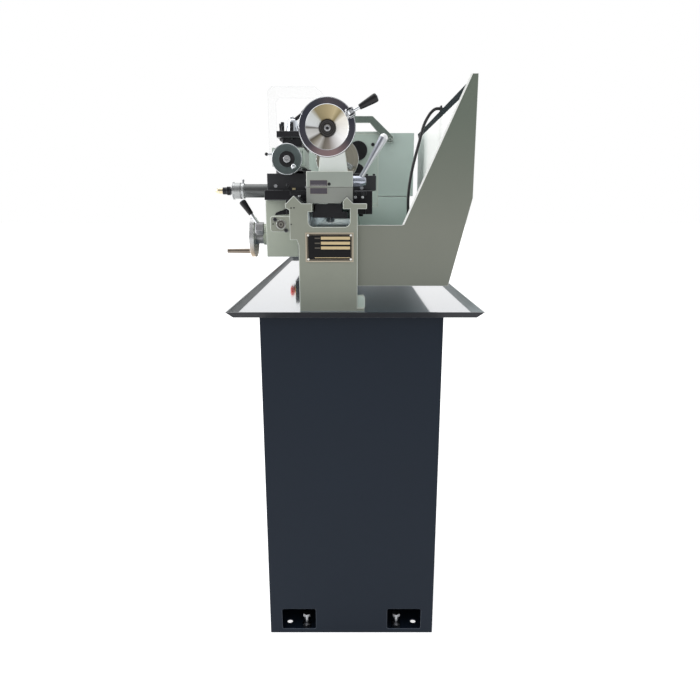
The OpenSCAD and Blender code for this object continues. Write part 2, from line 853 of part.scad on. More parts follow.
// Gear and belt pulley that are keyed to the spindle
module spindle_gears() color(steel) {
    translate([0, spindle_y, spindle_z]) {
        along_x(gear_x0, gear_x0 + gear_w) toothed(teeth_spindle, line_a(), spindle_r);
        pulley(pulley_r, spindle_r);
    }
}

module pulley(r, bore) difference() {
    union() {
        rod_x(pulley_x0, pulley_x0 + pulley_w, r);
        for (x = [pulley_x0 - 1.5, pulley_x0 + pulley_w - 0.5]) rod_x(x, x + 2, r + belt_t);
    }
    rod_x(pulley_x0 - 3, pulley_x0 + pulley_w + 3, bore);
}

module idler_gear() color(steel)
    translate([0, idler_centre()[0], idler_centre()[1]])
        along_x(gear_x0, gear_x0 + gear_w) toothed(teeth_idler, idler_angle(), 8 + run);

module leadscrew() color(steel)
    translate([0, screw_y, screw_z]) {
        rod_x(gear_x0 - 6, bracket_x + bracket_l + 5, screw_r);
        along_x(gear_x0, gear_x0 + gear_w) toothed(teeth_screw, screw_angle(), screw_r - 1);
    }

module motor() color(iron) {
    x0 = head_x0 + 18;
    difference() {
        union() {
            translate([0, motor_y, motor_z]) {
                rod_x(x0, x0 + motor_l, motor_r);
                rod_x(x0 - 6, x0 + 1, motor_r * 0.55);
                for (k = [0 : 3])
                    rotate([k * 90 + 45, 0, 0])
                        block([x0 + 20, -motor_r * 0.12, 0], [x0 + motor_l - 20, motor_r * 0.12, motor_r + 2]);
            }
            block([x0 + 30, head_y1, motor_z - 45], [x0 + motor_l - 30, motor_y - motor_r * 0.6, motor_z + 45]);
        }
        translate([0, motor_y, motor_z]) rod_x(x0 - 8, x0 + motor_l * 0.5, motor_shaft_r + run);
    }
}

module motor_pulley() color(steel)
    translate([0, motor_y, motor_z]) {
        pulley(motor_pulley_r, motor_shaft_r);
        rod_x(pulley_x0 - 1, head_x0 + 18 + motor_l * 0.4, motor_shaft_r);
    }

module drive_belt() color(iron) {
    d = [motor_y - spindle_y, motor_z - spindle_z];
    translate([0, spindle_y, spindle_z])
        rotate([atan2(d[1], d[0]), 0, 0])
            along_x(pulley_x0 + 1, pulley_x0 + pulley_w - 1)
                difference() {
                    belt_area(norm(d), gap + belt_t - 1);
                    belt_area(norm(d), gap);
                }
}

module belt_area(d, grow) {
    ra = pulley_r + grow;
    rb = motor_pulley_r + grow;
    a = acos((ra - rb) / d);
    polygon(concat(
        [for (k = [0 : 24]) polar(ra, a + (360 - 2 * a) * k / 24)],
        [for (k = [0 : 24]) polar(rb, -a + 2 * a * k / 24) + [d, 0]]
    ));
}

// Sheet box over the motor, open towards the headstock, with the hinge pins of the gear cover
module motor_cover() color(green) {
    t = cover_side_t;
    difference() {
        block([head_x0, head_y1, side_z0], [head_x1, side_y1, side_z1]);
        block([head_x0 + t, head_y1 - 1, side_z0 + t], [head_x1 - t, side_y1 - t, side_z1 - t]);
        translate([0, motor_y, motor_z]) rod_x(head_x0 - 1, head_x0 + t + 1, motor_r * 0.6);
        translate([0, arm_y, arm_z]) rod_x(head_x1 - t - 1, head_x1 + 1, 6 + run);
    }
    for (z = knuckle_z) {
        block([cover_pin_x - cover_pin_r, cover_pin_y - cover_pin_r, z - 4],
            [head_x0 + 0.5, cover_pin_y + cover_pin_r, z]);
        translate([cover_pin_x, cover_pin_y, 0]) rod_z(z - 1, z + knuckle_h + 1, cover_pin_r);
    }
}

module electric_box() color(green) {
    t = cover_side_t;
    x0 = head_x0 + 12;
    y0 = wall_y1 + guard_t + gap;
    difference() {
        along_x(x0, head_x1) box_outline(y0);
        along_x(x0 + t, head_x1 - t) offset(delta = -t) box_outline(y0);
        block([x0 + t, y0 - 1, box_z0 + t], [head_x1 - t, y0 + t + 1, way_z - way_t - gap - t]);
        translate([0, gland_y, gland_z]) rod_x(head_x1 - t - 1, head_x1 + 1, lead_d / 2 + 2);
    }
}

// The electric box lies behind the bed and reaches up beside the headstock
module box_outline(y0) {
    y1 = head_y1 + gap;
    low = way_z - way_t - gap;
    top = side_z0 - 2;
    polygon([[y0, box_z0], [box_y1, box_z0], [box_y1, top], [y1, top], [y1, low], [y0, low]]);
}

// Cover over the gears and the belt: a deep sheet box that swings on two pins
module gear_cover() color(green) {
    t = cover_t;
    difference() {
        union() {
            difference() {
                block([cover_x0, cover_y0, cover_z0], [cover_x1, cover_y1, cover_z1]);
                block([cover_x0 + t, cover_y0 + t, cover_z0 + t], [cover_x1 + 1, cover_y1 - t, cover_z1 - t]);
                block([cover_pin_x - 3, cover_y1 - 21, cover_z0 - 1], [cover_x1 + 1, cover_y1 + 1, cover_z1 + 1]);
                for (z = knuckle_z)
                    block([cover_pin_x - 12, cover_y1 - 21, z - 5], [cover_x1 + 1, cover_y1 + 1, z + gap]);
            }
            for (z = knuckle_z) {
                translate([cover_pin_x, cover_pin_y, 0]) rod_z(z + gap, z + knuckle_h, knuckle_r);
                block([cover_pin_x - 9, cover_pin_y, z + gap], [cover_pin_x, cover_y1, z + knuckle_h]);
            }
        }
        for (z = knuckle_z)
            translate([cover_pin_x, cover_pin_y, 0]) rod_z(z - 2, z + knuckle_h + 2, cover_pin_r + run);
        // Way out for a long bar fed through the spindle
        translate([0, spindle_y, spindle_z]) rod_x(cover_x0 - 1, cover_x0 + t + 1, spindle_bore_r + 5);
    }
}

// Chuck: back plate and body with three slots, and its jaws
module at_jaw(k) translate([0, spindle_y, spindle_z]) rotate([k * 120, 0, 0]) children();

module chuck_body() color(steel)
    difference() {
        translate([0, spindle_y, spindle_z])
            difference() {
                union() {
                    rod_x(nose_x1, chuck_x0, chuck_r - 4);
                    rod_x(chuck_x0, chuck_x1, chuck_r);
                }
                rod_x(nose_x1 - 1, chuck_x1 + 1, chuck_bore_r);
            }
        for (k = [0 : 2])
            at_jaw(k) {
                block([chuck_x1 - jaw_slot_d, -jaw_w / 2 - slip, 0], [chuck_x1 + 1, jaw_w / 2 + slip, chuck_r + 1]);
                translate([(chuck_x0 + chuck_x1) / 2 - 6, 0, 0]) rotate([0, 0, 60]) rod_z(chuck_r - 16, chuck_r + 1, 6);
            }
    }

module jaw(k) color(steel)
    at_jaw(k) along_jaw()
        polygon([
            [jaw_r0, chuck_x1 - jaw_slot_d + gap], [jaw_r0, chuck_x1 + jaw_out],
            [jaw_r0 + jaw_l * 0.4, chuck_x1 + jaw_out], [jaw_r0 + jaw_l * 0.4, chuck_x1 + jaw_out * 0.68],
            [jaw_r0 + jaw_l * 0.7, chuck_x1 + jaw_out * 0.68], [jaw_r0 + jaw_l * 0.7, chuck_x1 + jaw_out * 0.36],
            [jaw_r0 + jaw_l, chuck_x1 + jaw_out * 0.36], [jaw_r0 + jaw_l, chuck_x1 - jaw_slot_d + gap]
        ]);
// Stands a profile of (height, X) up in the plane of a jaw
module along_jaw() rotate([90, 0, 0]) translate([0, 0, -jaw_w / 2]) linear_extrude(jaw_w) mirror([1, -1]) children();

module chuck_jaw_1() jaw(0);
module chuck_jaw_2() jaw(1);
module chuck_jaw_3() jaw(2);

// Bent square bar that carries the shield, on a pivot in the motor cover
module chuck_guard_arm() color(green) {
    x0 = arm_x + 6;
    d = 14;
    translate([0, arm_y, arm_z]) {
        rod_x(arm_x - cover_side_t - 5, x0 + d + 3, 6);
        rod_x(arm_x + gap, x0, 11);
    }
    along_x(x0, x0 + d)
        polygon([[arm_y - 13, arm_z - 10], [66, bar_z0], [bar_y0, bar_z0], [bar_y0, bar_z1],
            [76, bar_z1], [arm_y + 12.5, arm_z + 9], [arm_y + 6, arm_z - 12]]);
    block([x0, bar_y0, bar_z0], [shield_x1 - 20, bar_y1, bar_z1]);
}

// Clear sheet bent over the chuck
module chuck_guard_shield() color("#dfe8ea")
    along_x(shield_x0, shield_x1)
        strip([
            [bar_y1, bar_z1], [bar_y0 - 15, bar_z1], [bar_y0 - 45, shield_z1 - 16], [bar_y0 - 68, shield_z1],
            [shield_y + 12, shield_z1], [shield_y, shield_z1 - 12], [shield_y, spindle_z - 10]
        ], -shield_t);

// Switch box on the front of the left foot, open at its back, and what is set in its front
module control_box() {
    t = cover_side_t;
    z = (control_z0 + control_z1) / 2;
    color(iron)
        difference() {
            block([control_x0, control_y0, control_z0], [control_x1, foot_y0, control_z1]);
            block([control_x0 + t, control_y0 + t, control_z0 + t], [control_x1 - t, foot_y0 + 1, control_z1 - t]);
            translate([stop_x, 0, z]) rod_y(control_y0 - 1, control_y0 + t + 1, 8 + run);
            translate([start_x, 0, z]) rod_y(control_y0 - 1, control_y0 + t + 1, start_r + run);
            translate([speed_x, 0, z]) rod_y(control_y0 - 1, control_y0 + t + 1, 3 + run);
        }
    color("gold")
        translate([stop_x, 0, z])
            difference() {
                rod_y(control_y0 - 2, control_y0, 27);
                rod_y(control_y0 - 3, control_y0 + 1, 8 + run);
            }
}

module emergency_stop() color("red")
    translate([stop_x, 0, (control_z0 + control_z1) / 2]) {
        rod_y(control_y0 - 9, control_y0 + 16, 8);
        cone_y(control_y0 - 14, control_y0 - 8, stop_r, stop_r - 5);
        rod_y(control_y0 - 18, control_y0 - 14, stop_r);
        cone_y(control_y0 - 22, control_y0 - 18, stop_r - 5, stop_r);
    }

module start_button() color("green")
    translate([start_x, 0, (control_z0 + control_z1) / 2])
        rod_y(control_y0 - press - 2, control_y0 + 14, start_r);

module speed_knob() color(iron)
    translate([speed_x, 0, (control_z0 + control_z1) / 2]) {
        rod_y(control_y0 - 3, control_y0 + 14, 3);
        cone_y(control_y0 - 18, control_y0 - gap, speed_r - 3, speed_r);
        block([-1.2, control_y0 - 19.5, 0], [1.2, control_y0 - 17, speed_r - 4]);
    }

// Saddle: an H on the ways, with a dovetail for the cross slide and the screw housing in front
module saddle() color(iron) {
    z1 = saddle_z1;
    difference() {
        union() {
            block([saddle_x0, wing_y0, wing_z0], [saddle_x1, wing_front_in, z1]);
            block([saddle_x0, way_y0 - slip, way_z + slip], [saddle_x1, wing_front_in, wing_z0 + 1]);
            block([saddle_x0, wing_rear_in, way_z + slip], [saddle_x1, wing_y1, z1 - 1.5]);
            block([saddle_x0, way_y1 + slip, way_z - 25.5], [saddle_x1, wing_y1, way_z + 1]);
            block([bridge_x0, wing_y0, wing_z0], [bridge_x1, wing_y1, z1]);
            block([bridge_x0, wing_front_in - 1, way_z + slip], [bridge_x1, wing_rear_in + 1, z1]);
            along_y(wing_y0, wing_y1) translate([carriage_x, 0]) dovetail(z1 - 1, dove_z1, dove_w0, dove_w1);
            translate([carriage_x, 0, feed_z]) rod_y(dial_y, wing_y0 + 1, housing_r);
        }
        along_x(saddle_x0 - 1, saddle_x1 + 1) {
            translate([0, slip]) v_groove(v_front_y, v_front_h);
            translate([0, slip]) v_groove(v_rear_y, v_rear_h);
        }
        block([carriage_x - trough_w, wing_y0 - 0.5, trough_z], [carriage_x + trough_w, wing_y1 - 12, dove_z1 + 1]);
        translate([carriage_x, 0, feed_z]) rod_y(dial_y - 1, wing_y1 + 1, feed_r + run);
    }
}

module dovetail(z0, z1, w0, w1) polygon([[-w0, z0], [w0, z0], [w1, z1], [-w1, z1]]);

// Plates that hold the saddle down under both ways, wipers on its end and their screws
module saddle_retainers() color(iron) {
    for (x = [[saddle_x0 + 4, apron_x0 - 3], [apron_x1 + 3, saddle_x1 - 4]]) {
        block([x[0], wall_y0 - 22, way_z - 24], [x[1], wall_y0 - 0.8, way_z - 14.5]);
        block([x[0], wall_y0 - 22, way_z - 15], [x[1], way_y0 - slip, wing_z0]);
    }
    block([saddle_x0 + 10, wall_y1 + 1, way_z - 25.5], [saddle_x1 - 10, way_y1 + slip, way_z - way_t - slip]);
    for (y = [[wing_y0 + 62, wing_front_in - 2], [wing_rear_in + 1, wing_y1 - 14]])
        block([saddle_x1, y[0], way_z + 19], [saddle_x1 + 2, y[1], saddle_z1 - 3]);
    for (p = [[8.6, 15.4], [25.8, 15.4]])
        translate([0, p[0] + 1, way_z + p[1] + 8]) rod_x(saddle_x1 + 2, saddle_x1 + 5, 3.6);
    for (x = [-70, 0, 70])
        translate([carriage_x + x, 24, 0]) rod_z(way_z - 31, way_z - 25.5, 5);
}

// Apron: an open-backed casting with a front plate, bosses and guides for the half nuts
module apron() color(green) {
    w = apron_wall;
    difference() {
        union() {
            difference() {
                union() {
                    block([apron_x0, apron_y0, apron_z0], [apron_x1, apron_y1, apron_z1]);
                    block([apron_x0, apron_y1 - 1, apron_z0], [apron_x1, apron_y2, bed_z - 6]);
                }
                block([apron_x0 + w, apron_y0 + apron_front_t, apron_z0 + w],
                    [apron_x1 - w, apron_y2 + 1, apron_z1 - w]);
            }
            for (x = [nut_x - nut_l / 2 - gap - 4, nut_x + nut_l / 2 + gap])
                block([x, nut_y0 - 2, screw_z - 42], [x + 4, nut_y0 + 22, apron_z1 - w + 1]);
            translate([wheel_x, 0, wheel_z]) rod_y(apron_y0 - 23, apron_y0 + 1, 20);
            translate([wheel_x, 0, wheel_z]) rod_y(apron_y0, apron_y0 + apron_front_t + 4, 14);
            translate([pinion_x, 0, pinion_z]) rod_y(apron_y0 + 1, big_y - gap, 11);
            translate([nut_x, 0, lever_z]) rod_y(apron_y0 - 8, apron_y0 + apron_front_t + 4, 12);
        }
        translate([wheel_x, 0, wheel_z]) rod_y(apron_y0 - 24, apron_y0 + 30, shaft_r + run);
        translate([pinion_x, 0, pinion_z]) rod_y(apron_y0 + 4, apron_y0 + 30, pinion_shaft_r + run);
        translate([nut_x, 0, lever_z]) rod_y(apron_y0 - 9, apron_y0 + 30, 7 + run);
        translate([0, screw_y, screw_z]) rod_x(apron_x0 - 1, apron_x1 + 1, screw_r + 1);
    }
}

module half_nut(side) color("goldenrod") {
    z = [screw_z + side * (nut_open + gap / 2), screw_z + side * (nut_open + nut_h)];
    difference() {
        block([nut_x - nut_l / 2, nut_y0, min(z)], [nut_x + nut_l / 2, nut_y1, max(z)]);
        translate([0, screw_y, screw_z + side * nut_open])
            rod_x(nut_x - nut_l, nut_x + nut_l, screw_r + gap);
    }
}
module half_nut_upper() half_nut(1);
module half_nut_lower() half_nut(-1);

// Feed lever: shaft with a cam disc behind the apron's front, a bevelled hub, a stem and a grip
module feed_lever() {
    a = [nut_x, apron_y0 - 15, lever_z];
    d = [-8, -52, 73] / norm([-8, -52, 73]);
    color(steel) {
        translate([nut_x, 0, lever_z]) {
            rod_y(apron_y0 - 12, big_y + 8, 7);
            rod_y(apron_y0 + apron_front_t + 4 + gap, big_y + 8, 11);
        }
        rod_between(a, a + d * 46, 5, 4);
    }
    color(iron) {
        translate([nut_x, 0, lever_z])
            rotate([-90, 0, 0]) translate([0, 0, apron_y0 - 27]) {
                cylinder(r = 17, h = 18, $fn = 6);
                translate([0, 0, -3]) cylinder(r1 = 12, r2 = 16, h = 3);
            }
        rod_between(a + d * 44, a + d * 84, 6, 9);
    }
}

module apron_handwheel() color(steel)
    translate([wheel_x, 0, wheel_z]) {
        difference() {
            union() {
                rod_y(wheel_y - 6, wheel_y + 6, apron_wheel_r);
                rod_y(wheel_y - 12, apron_y0 - 23 - gap, 17);
            }
            difference() {
                rod_y(wheel_y - 7, wheel_y - 2, apron_wheel_r - 8);
                rod_y(wheel_y - 8, wheel_y - 1, 18);
            }
        }
        rod_y(wheel_y - 14, big_y + 11, shaft_r);
        along_y(big_y + 1, big_y + 9) toothed(wheel_teeth, wheel_line, 4);
        translate([0, 0, -apron_wheel_r * 0.7]) {
            rod_y(wheel_y - 12, wheel_y, 6);
            cone_y(wheel_y - 74, wheel_y - 11, 5.5, 6.5);
        }
    }
// Direction from the handwheel's shaft to the pinion's shaft
wheel_line = atan2(pinion_z - wheel_z, pinion_x - wheel_x);

// Shaft with the large gear in front of the leadscrew and the pinion under the rack behind it
module rack_pinion() color(steel)
    translate([pinion_x, 0, pinion_z]) {
        along_y(big_y, big_y + 8) toothed(big_teeth, mesh_angle(wheel_line, wheel_line, wheel_teeth, big_teeth), 4);
        along_y(rack_y0, wall_y0 - 1) toothed(pinion_teeth, 90, 4);
        rod_y(apron_y0 + 5, wall_y0 - 1, pinion_shaft_r);
    }

// Cross slide: a block with a dovetail channel and the nut of its screw
module cross_slide() color(iron) {
    room = saddle_z1 + cross_room;
    difference() {
        block([carriage_x - cross_w / 2, cross_y0, cross_z0], [carriage_x + cross_w / 2, cross_y1, cross_z1]);
        along_y(cross_y0 - 1, cross_y1 + 1) translate([carriage_x, 0]) {
            dovetail(cross_z0 - 1, dove_z1 + slip, dove_w0 + gap, dove_w1 + gap + 0.6);
            translate([-housing_r - 1, 0]) square([2 * housing_r + 2, room]);
        }
        block([carriage_x - cross_w, cross_y1 - 28, cross_z1 - 5], [carriage_x + cross_w, cross_y1 + 1, cross_z1 + 1]);
        translate([carriage_x, swivel_y, 0]) rod_z(cross_z1 - spigot_h - 1, cross_z1 + 1, spigot_r + run);
    }
    difference() {
        block([carriage_x - trough_w + 1, -70, trough_z + 1], [carriage_x + trough_w - 1, -44, room + 0.5]);
        translate([carriage_x, 0, feed_z]) rod_y(-71, -43, feed_r + run);
    }
    for (y = [cross_y0 + 52, cross_y0 + 118])
        translate([0, y, saddle_z1 + 12]) rod_x(carriage_x + cross_w / 2, carriage_x + cross_w / 2 + 3, 5);
}

// Cross feed screw with its dial, lock screw, nut and dome
module cross_feed_screw() {
    translate([carriage_x, 0, feed_z]) {
        color(steel) {
            rod_y(dial_y - 62, wing_y1 - 4, feed_r);
            rod_y(dial_y - 31, dial_y - 27, dial_r + 2);
            rod_y(dial_y - 28, dial_y - gap, dial_r);
            translate([0, dial_y - 4, 0]) rod_z(dial_r - 1, dial_r + 9, 3);
            cone_y(dial_y - 77, dial_y - 68, 3, 7);
            rod_y(dial_y - 68, dial_y - 61, 7);
        }
        color(iron) {
            rod_y(dial_y - 46, dial_y - 37, 10.5);
            rod_y(dial_y - 57, dial_y - 45, 9);
            rod_y(dial_y - 38, dial_y - 30, 8);
        }
    }
}

// Compound: the swivelling base with its dovetail and the nut of the top screw
module compound_base() color(iron) {
    translate([carriage_x, swivel_y, 0]) {
        rod_z(cross_z1 + slip, top_z0, swivel_r);
        rod_z(cross_z1 - spigot_h, cross_z1 + slip + 1, spigot_r);
    }
    difference() {
        union() {
            block([top_x0, swivel_y - 28, top_z0 - 7], [base_x1, swivel_y + 28, top_z0]);
            along_x(top_x0, base_x1) translate([swivel_y, 0])
                dovetail(top_z0 - 1, top_z0 + top_dove_h, top_dove_w0, top_dove_w1);
        }
        block([top_x0 - 1, swivel_y - 7, top_z0 + 7], [base_x1 + 1, swivel_y + 7, top_z0 + top_dove_h + 1]);
    }
    difference() {
        block([carriage_x + 30, swivel_y - 7, top_z0 + 6], [carriage_x + 48, swivel_y + 7, top_z0 + top_room - 1]);
        translate([0, swivel_y, top_screw_z]) rod_x(carriage_x, carriage_x + 60, top_screw_r + run);
    }
}

module compound_slide() color(green) {
    difference() {
        union() {
            block([top_x0, swivel_y - top_w, top_z0 + slip], [top_x1, swivel_y + top_w, top_z1]);
            block([top_x1 - 1, swivel_y - top_w + 4, top_z0 + 2], [top_x1 + 8, swivel_y + top_w - 4, top_z1 - 5]);
        }
        along_x(top_x0 - 1, top_x1 - 4) translate([swivel_y, 0]) {
            dovetail(top_z0 - 1, top_z0 + top_dove_h + slip, top_dove_w0 + gap, top_dove_w1 + gap + 0.5);
            translate([-8, 0]) square([16, top_z0 + top_room]);
        }
        translate([0, swivel_y, top_screw_z]) rod_x(top_x1 - 6, top_x1 + 9, top_screw_r + run);
    }
    translate([carriage_x, swivel_y, 0]) rod_z(top_z1 - 1, stud_top, stud_r);
    // Lock screw on the front side
    translate([top_x1 - 30, swivel_y - top_w, top_z0 + 30]) {
        rod_y(-15, 1, 2);
        translate([0, -17, 0]) sphere(4);
    }
}

module compound_handwheel() color(steel) {
    x = top_x1 + 8 + gap;
    translate([0, swivel_y, top_screw_z]) {
        rod_x(top_x0 + 18, x + 22, top_screw_r);
        rod_x(x, x + 8, 21);
        difference() {
            rod_x(x + 7, x + 18, compound_wheel_r);
            difference() {
                rod_x(x + 15, x + 19, compound_wheel_r - 4);
                rod_x(x + 14, x + 20, 17);
            }
        }
        rod_x(x + 17, x + 21, 9);
        translate([0, 16, -17]) {
            rod_x(x + 14, x + 26, 3);
            translate([x + 29, 0, 0]) sphere(6.5);
        }
    }
}

// Tool post: a square block with a slot on each side, on the compound's stud
module tool_post() color(iron)
    translate([carriage_x, swivel_y, 0])
        difference() {
            translate([-post_w / 2, -post_w / 2, post_z0]) cube([post_w, post_w, post_z1 - post_z0]);
            for (k = [0 : 3])
                rotate(k * 90)
                    block([post_core / 2, -post_w, post_slot_z], [post_w, post_w, post_slot_z + post_slot]);
            rod_z(post_z0 - 1, post_z1 + 1, stud_r + run);
            post_screw_places() rod_z(post_slot_z + post_slot - 1, post_z1 + 1, 4 + run);
        }

module post_screw_places()
    for (k = [0 : 3])
        rotate(k * 90)
            for (y = [-post_w * 0.3, 0])
                translate([post_w / 2 - 7.5, y, 0]) children();

module tool_post_screws() color(iron)
    translate([carriage_x, swivel_y, 0])
        post_screw_places() {
            rod_z(post_slot_z + post_slot - 5, post_z1 + 12, 4);
            translate([-4, -4, post_z1 + 11]) cube([8, 8, 10]);
        }

// Clamp nut of the tool post: a conical hub with a ball, a stem and a grip
module tool_post_lever() {
    z = post_z1 + gap;
    a = [carriage_x, swivel_y + 2, z + 27];
    d = [4, 46, 36] / norm([4, 46, 36]);
    color(steel) {
        translate([carriage_x, swivel_y, 0])
            difference() {
                translate([0, 0, z]) cylinder(r1 = 17, r2 = 12, h = 31);
                rod_z(z - 1, stud_top + gap, stud_r + run);
            }
        translate([carriage_x, swivel_y - 3, z + 33]) sphere(7);
        rod_between(a, a + d * 30, 5, 3.5);
    }
    color(iron) rod_between(a + d * 28, a + d * 60, 5, 8);
}

// Tailstock: base with the clamp bolt's hole, and body with neck and barrel
module tailstock_base() color(green)
    difference() {
        block([tail_x, tail_y0, way_z + slip], [tail_x1, tail_y1, tail_split]);
        along_x(tail_x - 1, tail_x1 + 1) translate([0, slip]) v_groove(v_rear_y, v_rear_h);
        translate([clamp_x, spindle_y, 0]) rod_z(way_z - 1, tail_split + 1, 6 + run);
    }

module tailstock_body() color(green) {
    difference() {
        union() {
            block([tail_x, tail_y0, tail_split], [tail_x1, tail_y1, tail_top]);
            along_x(neck_x0, neck_x1)
                polygon([[-74.5, tail_top - 1], [-7.8, tail_top - 1], [-14.3, neck_z],
                    [spindle_y + barrel_r - 3, spindle_z], [spindle_y - barrel_r + 3, spindle_z], [-69.4, neck_z]]);
            translate([0, spindle_y, spindle_z]) rod_x(barrel_x0, barrel_x1, barrel_r);
            translate([0, spindle_y, spindle_z]) rod_x(barrel_x1 - 1, barrel_x1 + 8, barrel_r - 6);
            translate([lock_x, spindle_y, 0]) rod_z(spindle_z, spindle_z + barrel_r + 6, 11);
        }
        translate([0, spindle_y, spindle_z]) {
            rod_x(barrel_x0 - 1, barrel_x1 - 10, quill_r + run);
            rod_x(barrel_x1 - 12, barrel_x1 + 9, quill_screw_r + run);
        }
        translate([lock_x, spindle_y, 0]) rod_z(spindle_z + quill_r + 1, spindle_z + barrel_r + 7, 5 + run);
        translate([clamp_x, 0, clamp_z]) rod_y(tail_y0 + 8, tail_y1 + 1, clamp_r + run);
        translate([clamp_x, spindle_y, 0]) rod_z(tail_split - 1, clamp_z, 6 + run);
    }
}

module quill() color(steel)
    translate([0, spindle_y, spindle_z]) {
        difference() {
            rod_x(quill_x0, quill_x1, quill_r);
            rod_x(quill_x0 + 60, quill_x1 + 1, quill_screw_r + gap);
        }
        cone_x(quill_x0 - 34, quill_x0 - 12, 0.5, 11);
        rod_x(quill_x0 - 12, quill_x0 + 1, 11);
    }

// Dished handwheel with its screw, and the fork of the folding handle on its rim
module tailstock_handwheel() color(steel) {
    x = tail_wheel_x;
    r = tail_wheel_r;
    w = tail_wheel_w;
    translate([0, spindle_y, spindle_z]) {
        translate([x, 0, 0]) rotate([0, 90, 0])
            rotate_extrude($fn = 96)
                polygon([[0, 0], [20, 0], [r - 17, w - 11], [r - 2, w - 11], [r, w - 9], [r, w - 2], [r - 2, w],
                    [r - 15, w], [18, 6], [17.5, 6], [17.5, 9], [0, 9]]);
        rod_x(barrel_x1 - 20, x + 1, quill_screw_r);
        rod_x(barrel_x1 + 8 + gap, x + 1, 18);
        rod_x(quill_x0 + 66, barrel_x1, quill_screw_r);
        rod_x(x + 8, x + 12, 7);
    }
    at_handle() {
        difference() {
            translate([x + w - 3, 0, 0]) rotate([0, 90, 0]) cylinder(r = 10, h = handle_x - x - w + 8);
            block([x + w, -20, -handle_eye / 2 - gap / 2], [handle_x + 20, 20, handle_eye / 2 + gap / 2]);
        }
        translate([handle_x, 0, -9]) cylinder(r = 2.5, h = 18);
    }
}
// A frame at the handle's fork: local Y points out along the wheel's radius, local Z along the pin
module at_handle()
    translate([0, spindle_y, spindle_z]) rotate([handle_a - 90, 0, 0])
        translate([0, 0, handle_r]) rotate([90, 0, 0]) children();

module tailstock_handle() {
    at_handle() {
        color(steel) {
            difference() {
                translate([handle_x, 0, -handle_eye / 2]) cylinder(r = 5.5, h = handle_eye);
                translate([handle_x, 0, -handle_eye]) cylinder(r = 2.5 + run, h = 2 * handle_eye);
            }
            translate([handle_x, 4.5, 0]) rotate([-90, 0, 0]) cylinder(r = 3, h = 18);
        }
        color(iron)
            translate([handle_x, 21, 0]) rotate([-90, 0, 0]) cylinder(r1 = 5.5, r2 = 9, h = 42);
    }
}

module quill_lock_lever() color(steel) {
    z = spindle_z + barrel_r + 6 + gap;
    translate([lock_x, spindle_y, 0]) {
        rod_z(spindle_z + quill_r + 1.5, z + 1, 5);
        rod_z(z, z + 10, 9);
    }
    rod_between([lock_x, spindle_y, z + 5], [lock_x - 4, spindle_y - 48, z + 12], 4, 3);
    translate([lock_x - 4, spindle_y - 50, z + 12]) sphere(6);
}

// Clamp lever: eccentric shaft across the body, hub and leaning grip
module tailstock_clamp_lever() color(steel) {
    a = [clamp_x, 17, clamp_z];
    b = [clamp_x, 73.5, clamp_z + 96];
    translate([clamp_x, 0, clamp_z]) {
        rod_y(tail_y0 + 9, tail_y1 + 4, clamp_r);
        rod_y(tail_y1 + gap, tail_y1 + 31, 12.6);
    }
    rod_between(a, a + (b - a) * 0.45, 5.8, 5.8);
    rod_between(a + (b - a) * 0.4, b, 6.2, 10);
    translate(b) sphere(10.3);
}

module tailstock_clamp_plate() {
    color(iron)
        union() {
            block([clamp_x - 40, wall_in0 + 6, way_z - 32], [clamp_x + 40, wall_in1 - 6, way_z - lip_t - slip]);
            block([clamp_x - 40, lip_y0 + 3, way_z - 31], [clamp_x + 40, lip_y1 - 3, way_z - 1]);
        }
    color(steel)
        translate([clamp_x, spindle_y, 0]) {
            rod_z(way_z - 44, clamp_z - clamp_r - gap, 6);
            hex_z(way_z - 42, way_z - 32, 11);
        }
}

// Lead: a tube swept along its points
module supply_lead() color("#15161a") {
    n = len(lead_points);
    rings = [for (k = [0 : n - 1]) ring_at(k)];
    polyhedron(
        points = [for (r = rings) each r],
        faces = concat(
            [[for (i = [0 : lead_sides - 1]) i]],
            [for (k = [0 : n - 2], i = [0 : lead_sides - 1]) each
                let(j = (i + 1) % lead_sides, a = k * lead_sides, b = a + lead_sides)
                [[a + i, b + i, b + j], [a + i, b + j, a + j]]],
            [[for (i = [lead_sides - 1 : -1 : 0]) (n - 1) * lead_sides + i]]
        )
    );
}
function ring_at(k) =
    let(
        last = len(lead_points) - 1,
        d = lead_points[min(k + 1, last)] - lead_points[max(k - 1, 0)],
        t = d / norm(d),
        s = cross(t, lead_side(t)),
        u = s / norm(s),
        v = cross(t, u)
    )
    [for (i = [0 : lead_sides - 1])
        lead_points[k] + lead_d / 2 * (u * cos(i * 360 / lead_sides) + v * sin(i * 360 / lead_sides))];
function lead_side(t) = [0.1, -0.4, 0.9];

// Gland on the electric box, clip on the guard's top flange and the box that the lead ends in
module lead_fittings() color(iron) {
    top = lead_points[25];
    end = lead_points[30];
    hole = lead_d / 2 + 0.35;
    translate([0, gland_y, gland_z])
        difference() {
            union() {
                rod_x(head_x1, head_x1 + 9, 9);
                rod_x(head_x1 - 5, head_x1 + 1, lead_d / 2 + 1.9);
            }
            rod_x(head_x1 - 6, head_x1 + 11, hole);
        }
    difference() {
        block([top[0] - 9, guard_y1 - guard_fold, guard_z1], [top[0] + 9, guard_y1, top[2] + 8]);
        translate([top[0], 0, top[2] - 0.5]) rod_y(guard_y1 - guard_fold - 1, guard_y1 + 1, hole + 0.4);
    }
    block([end[0] - 30, guard_y1, end[2] - 70], [end[0] + 30, guard_y1 + 18, end[2]]);
}

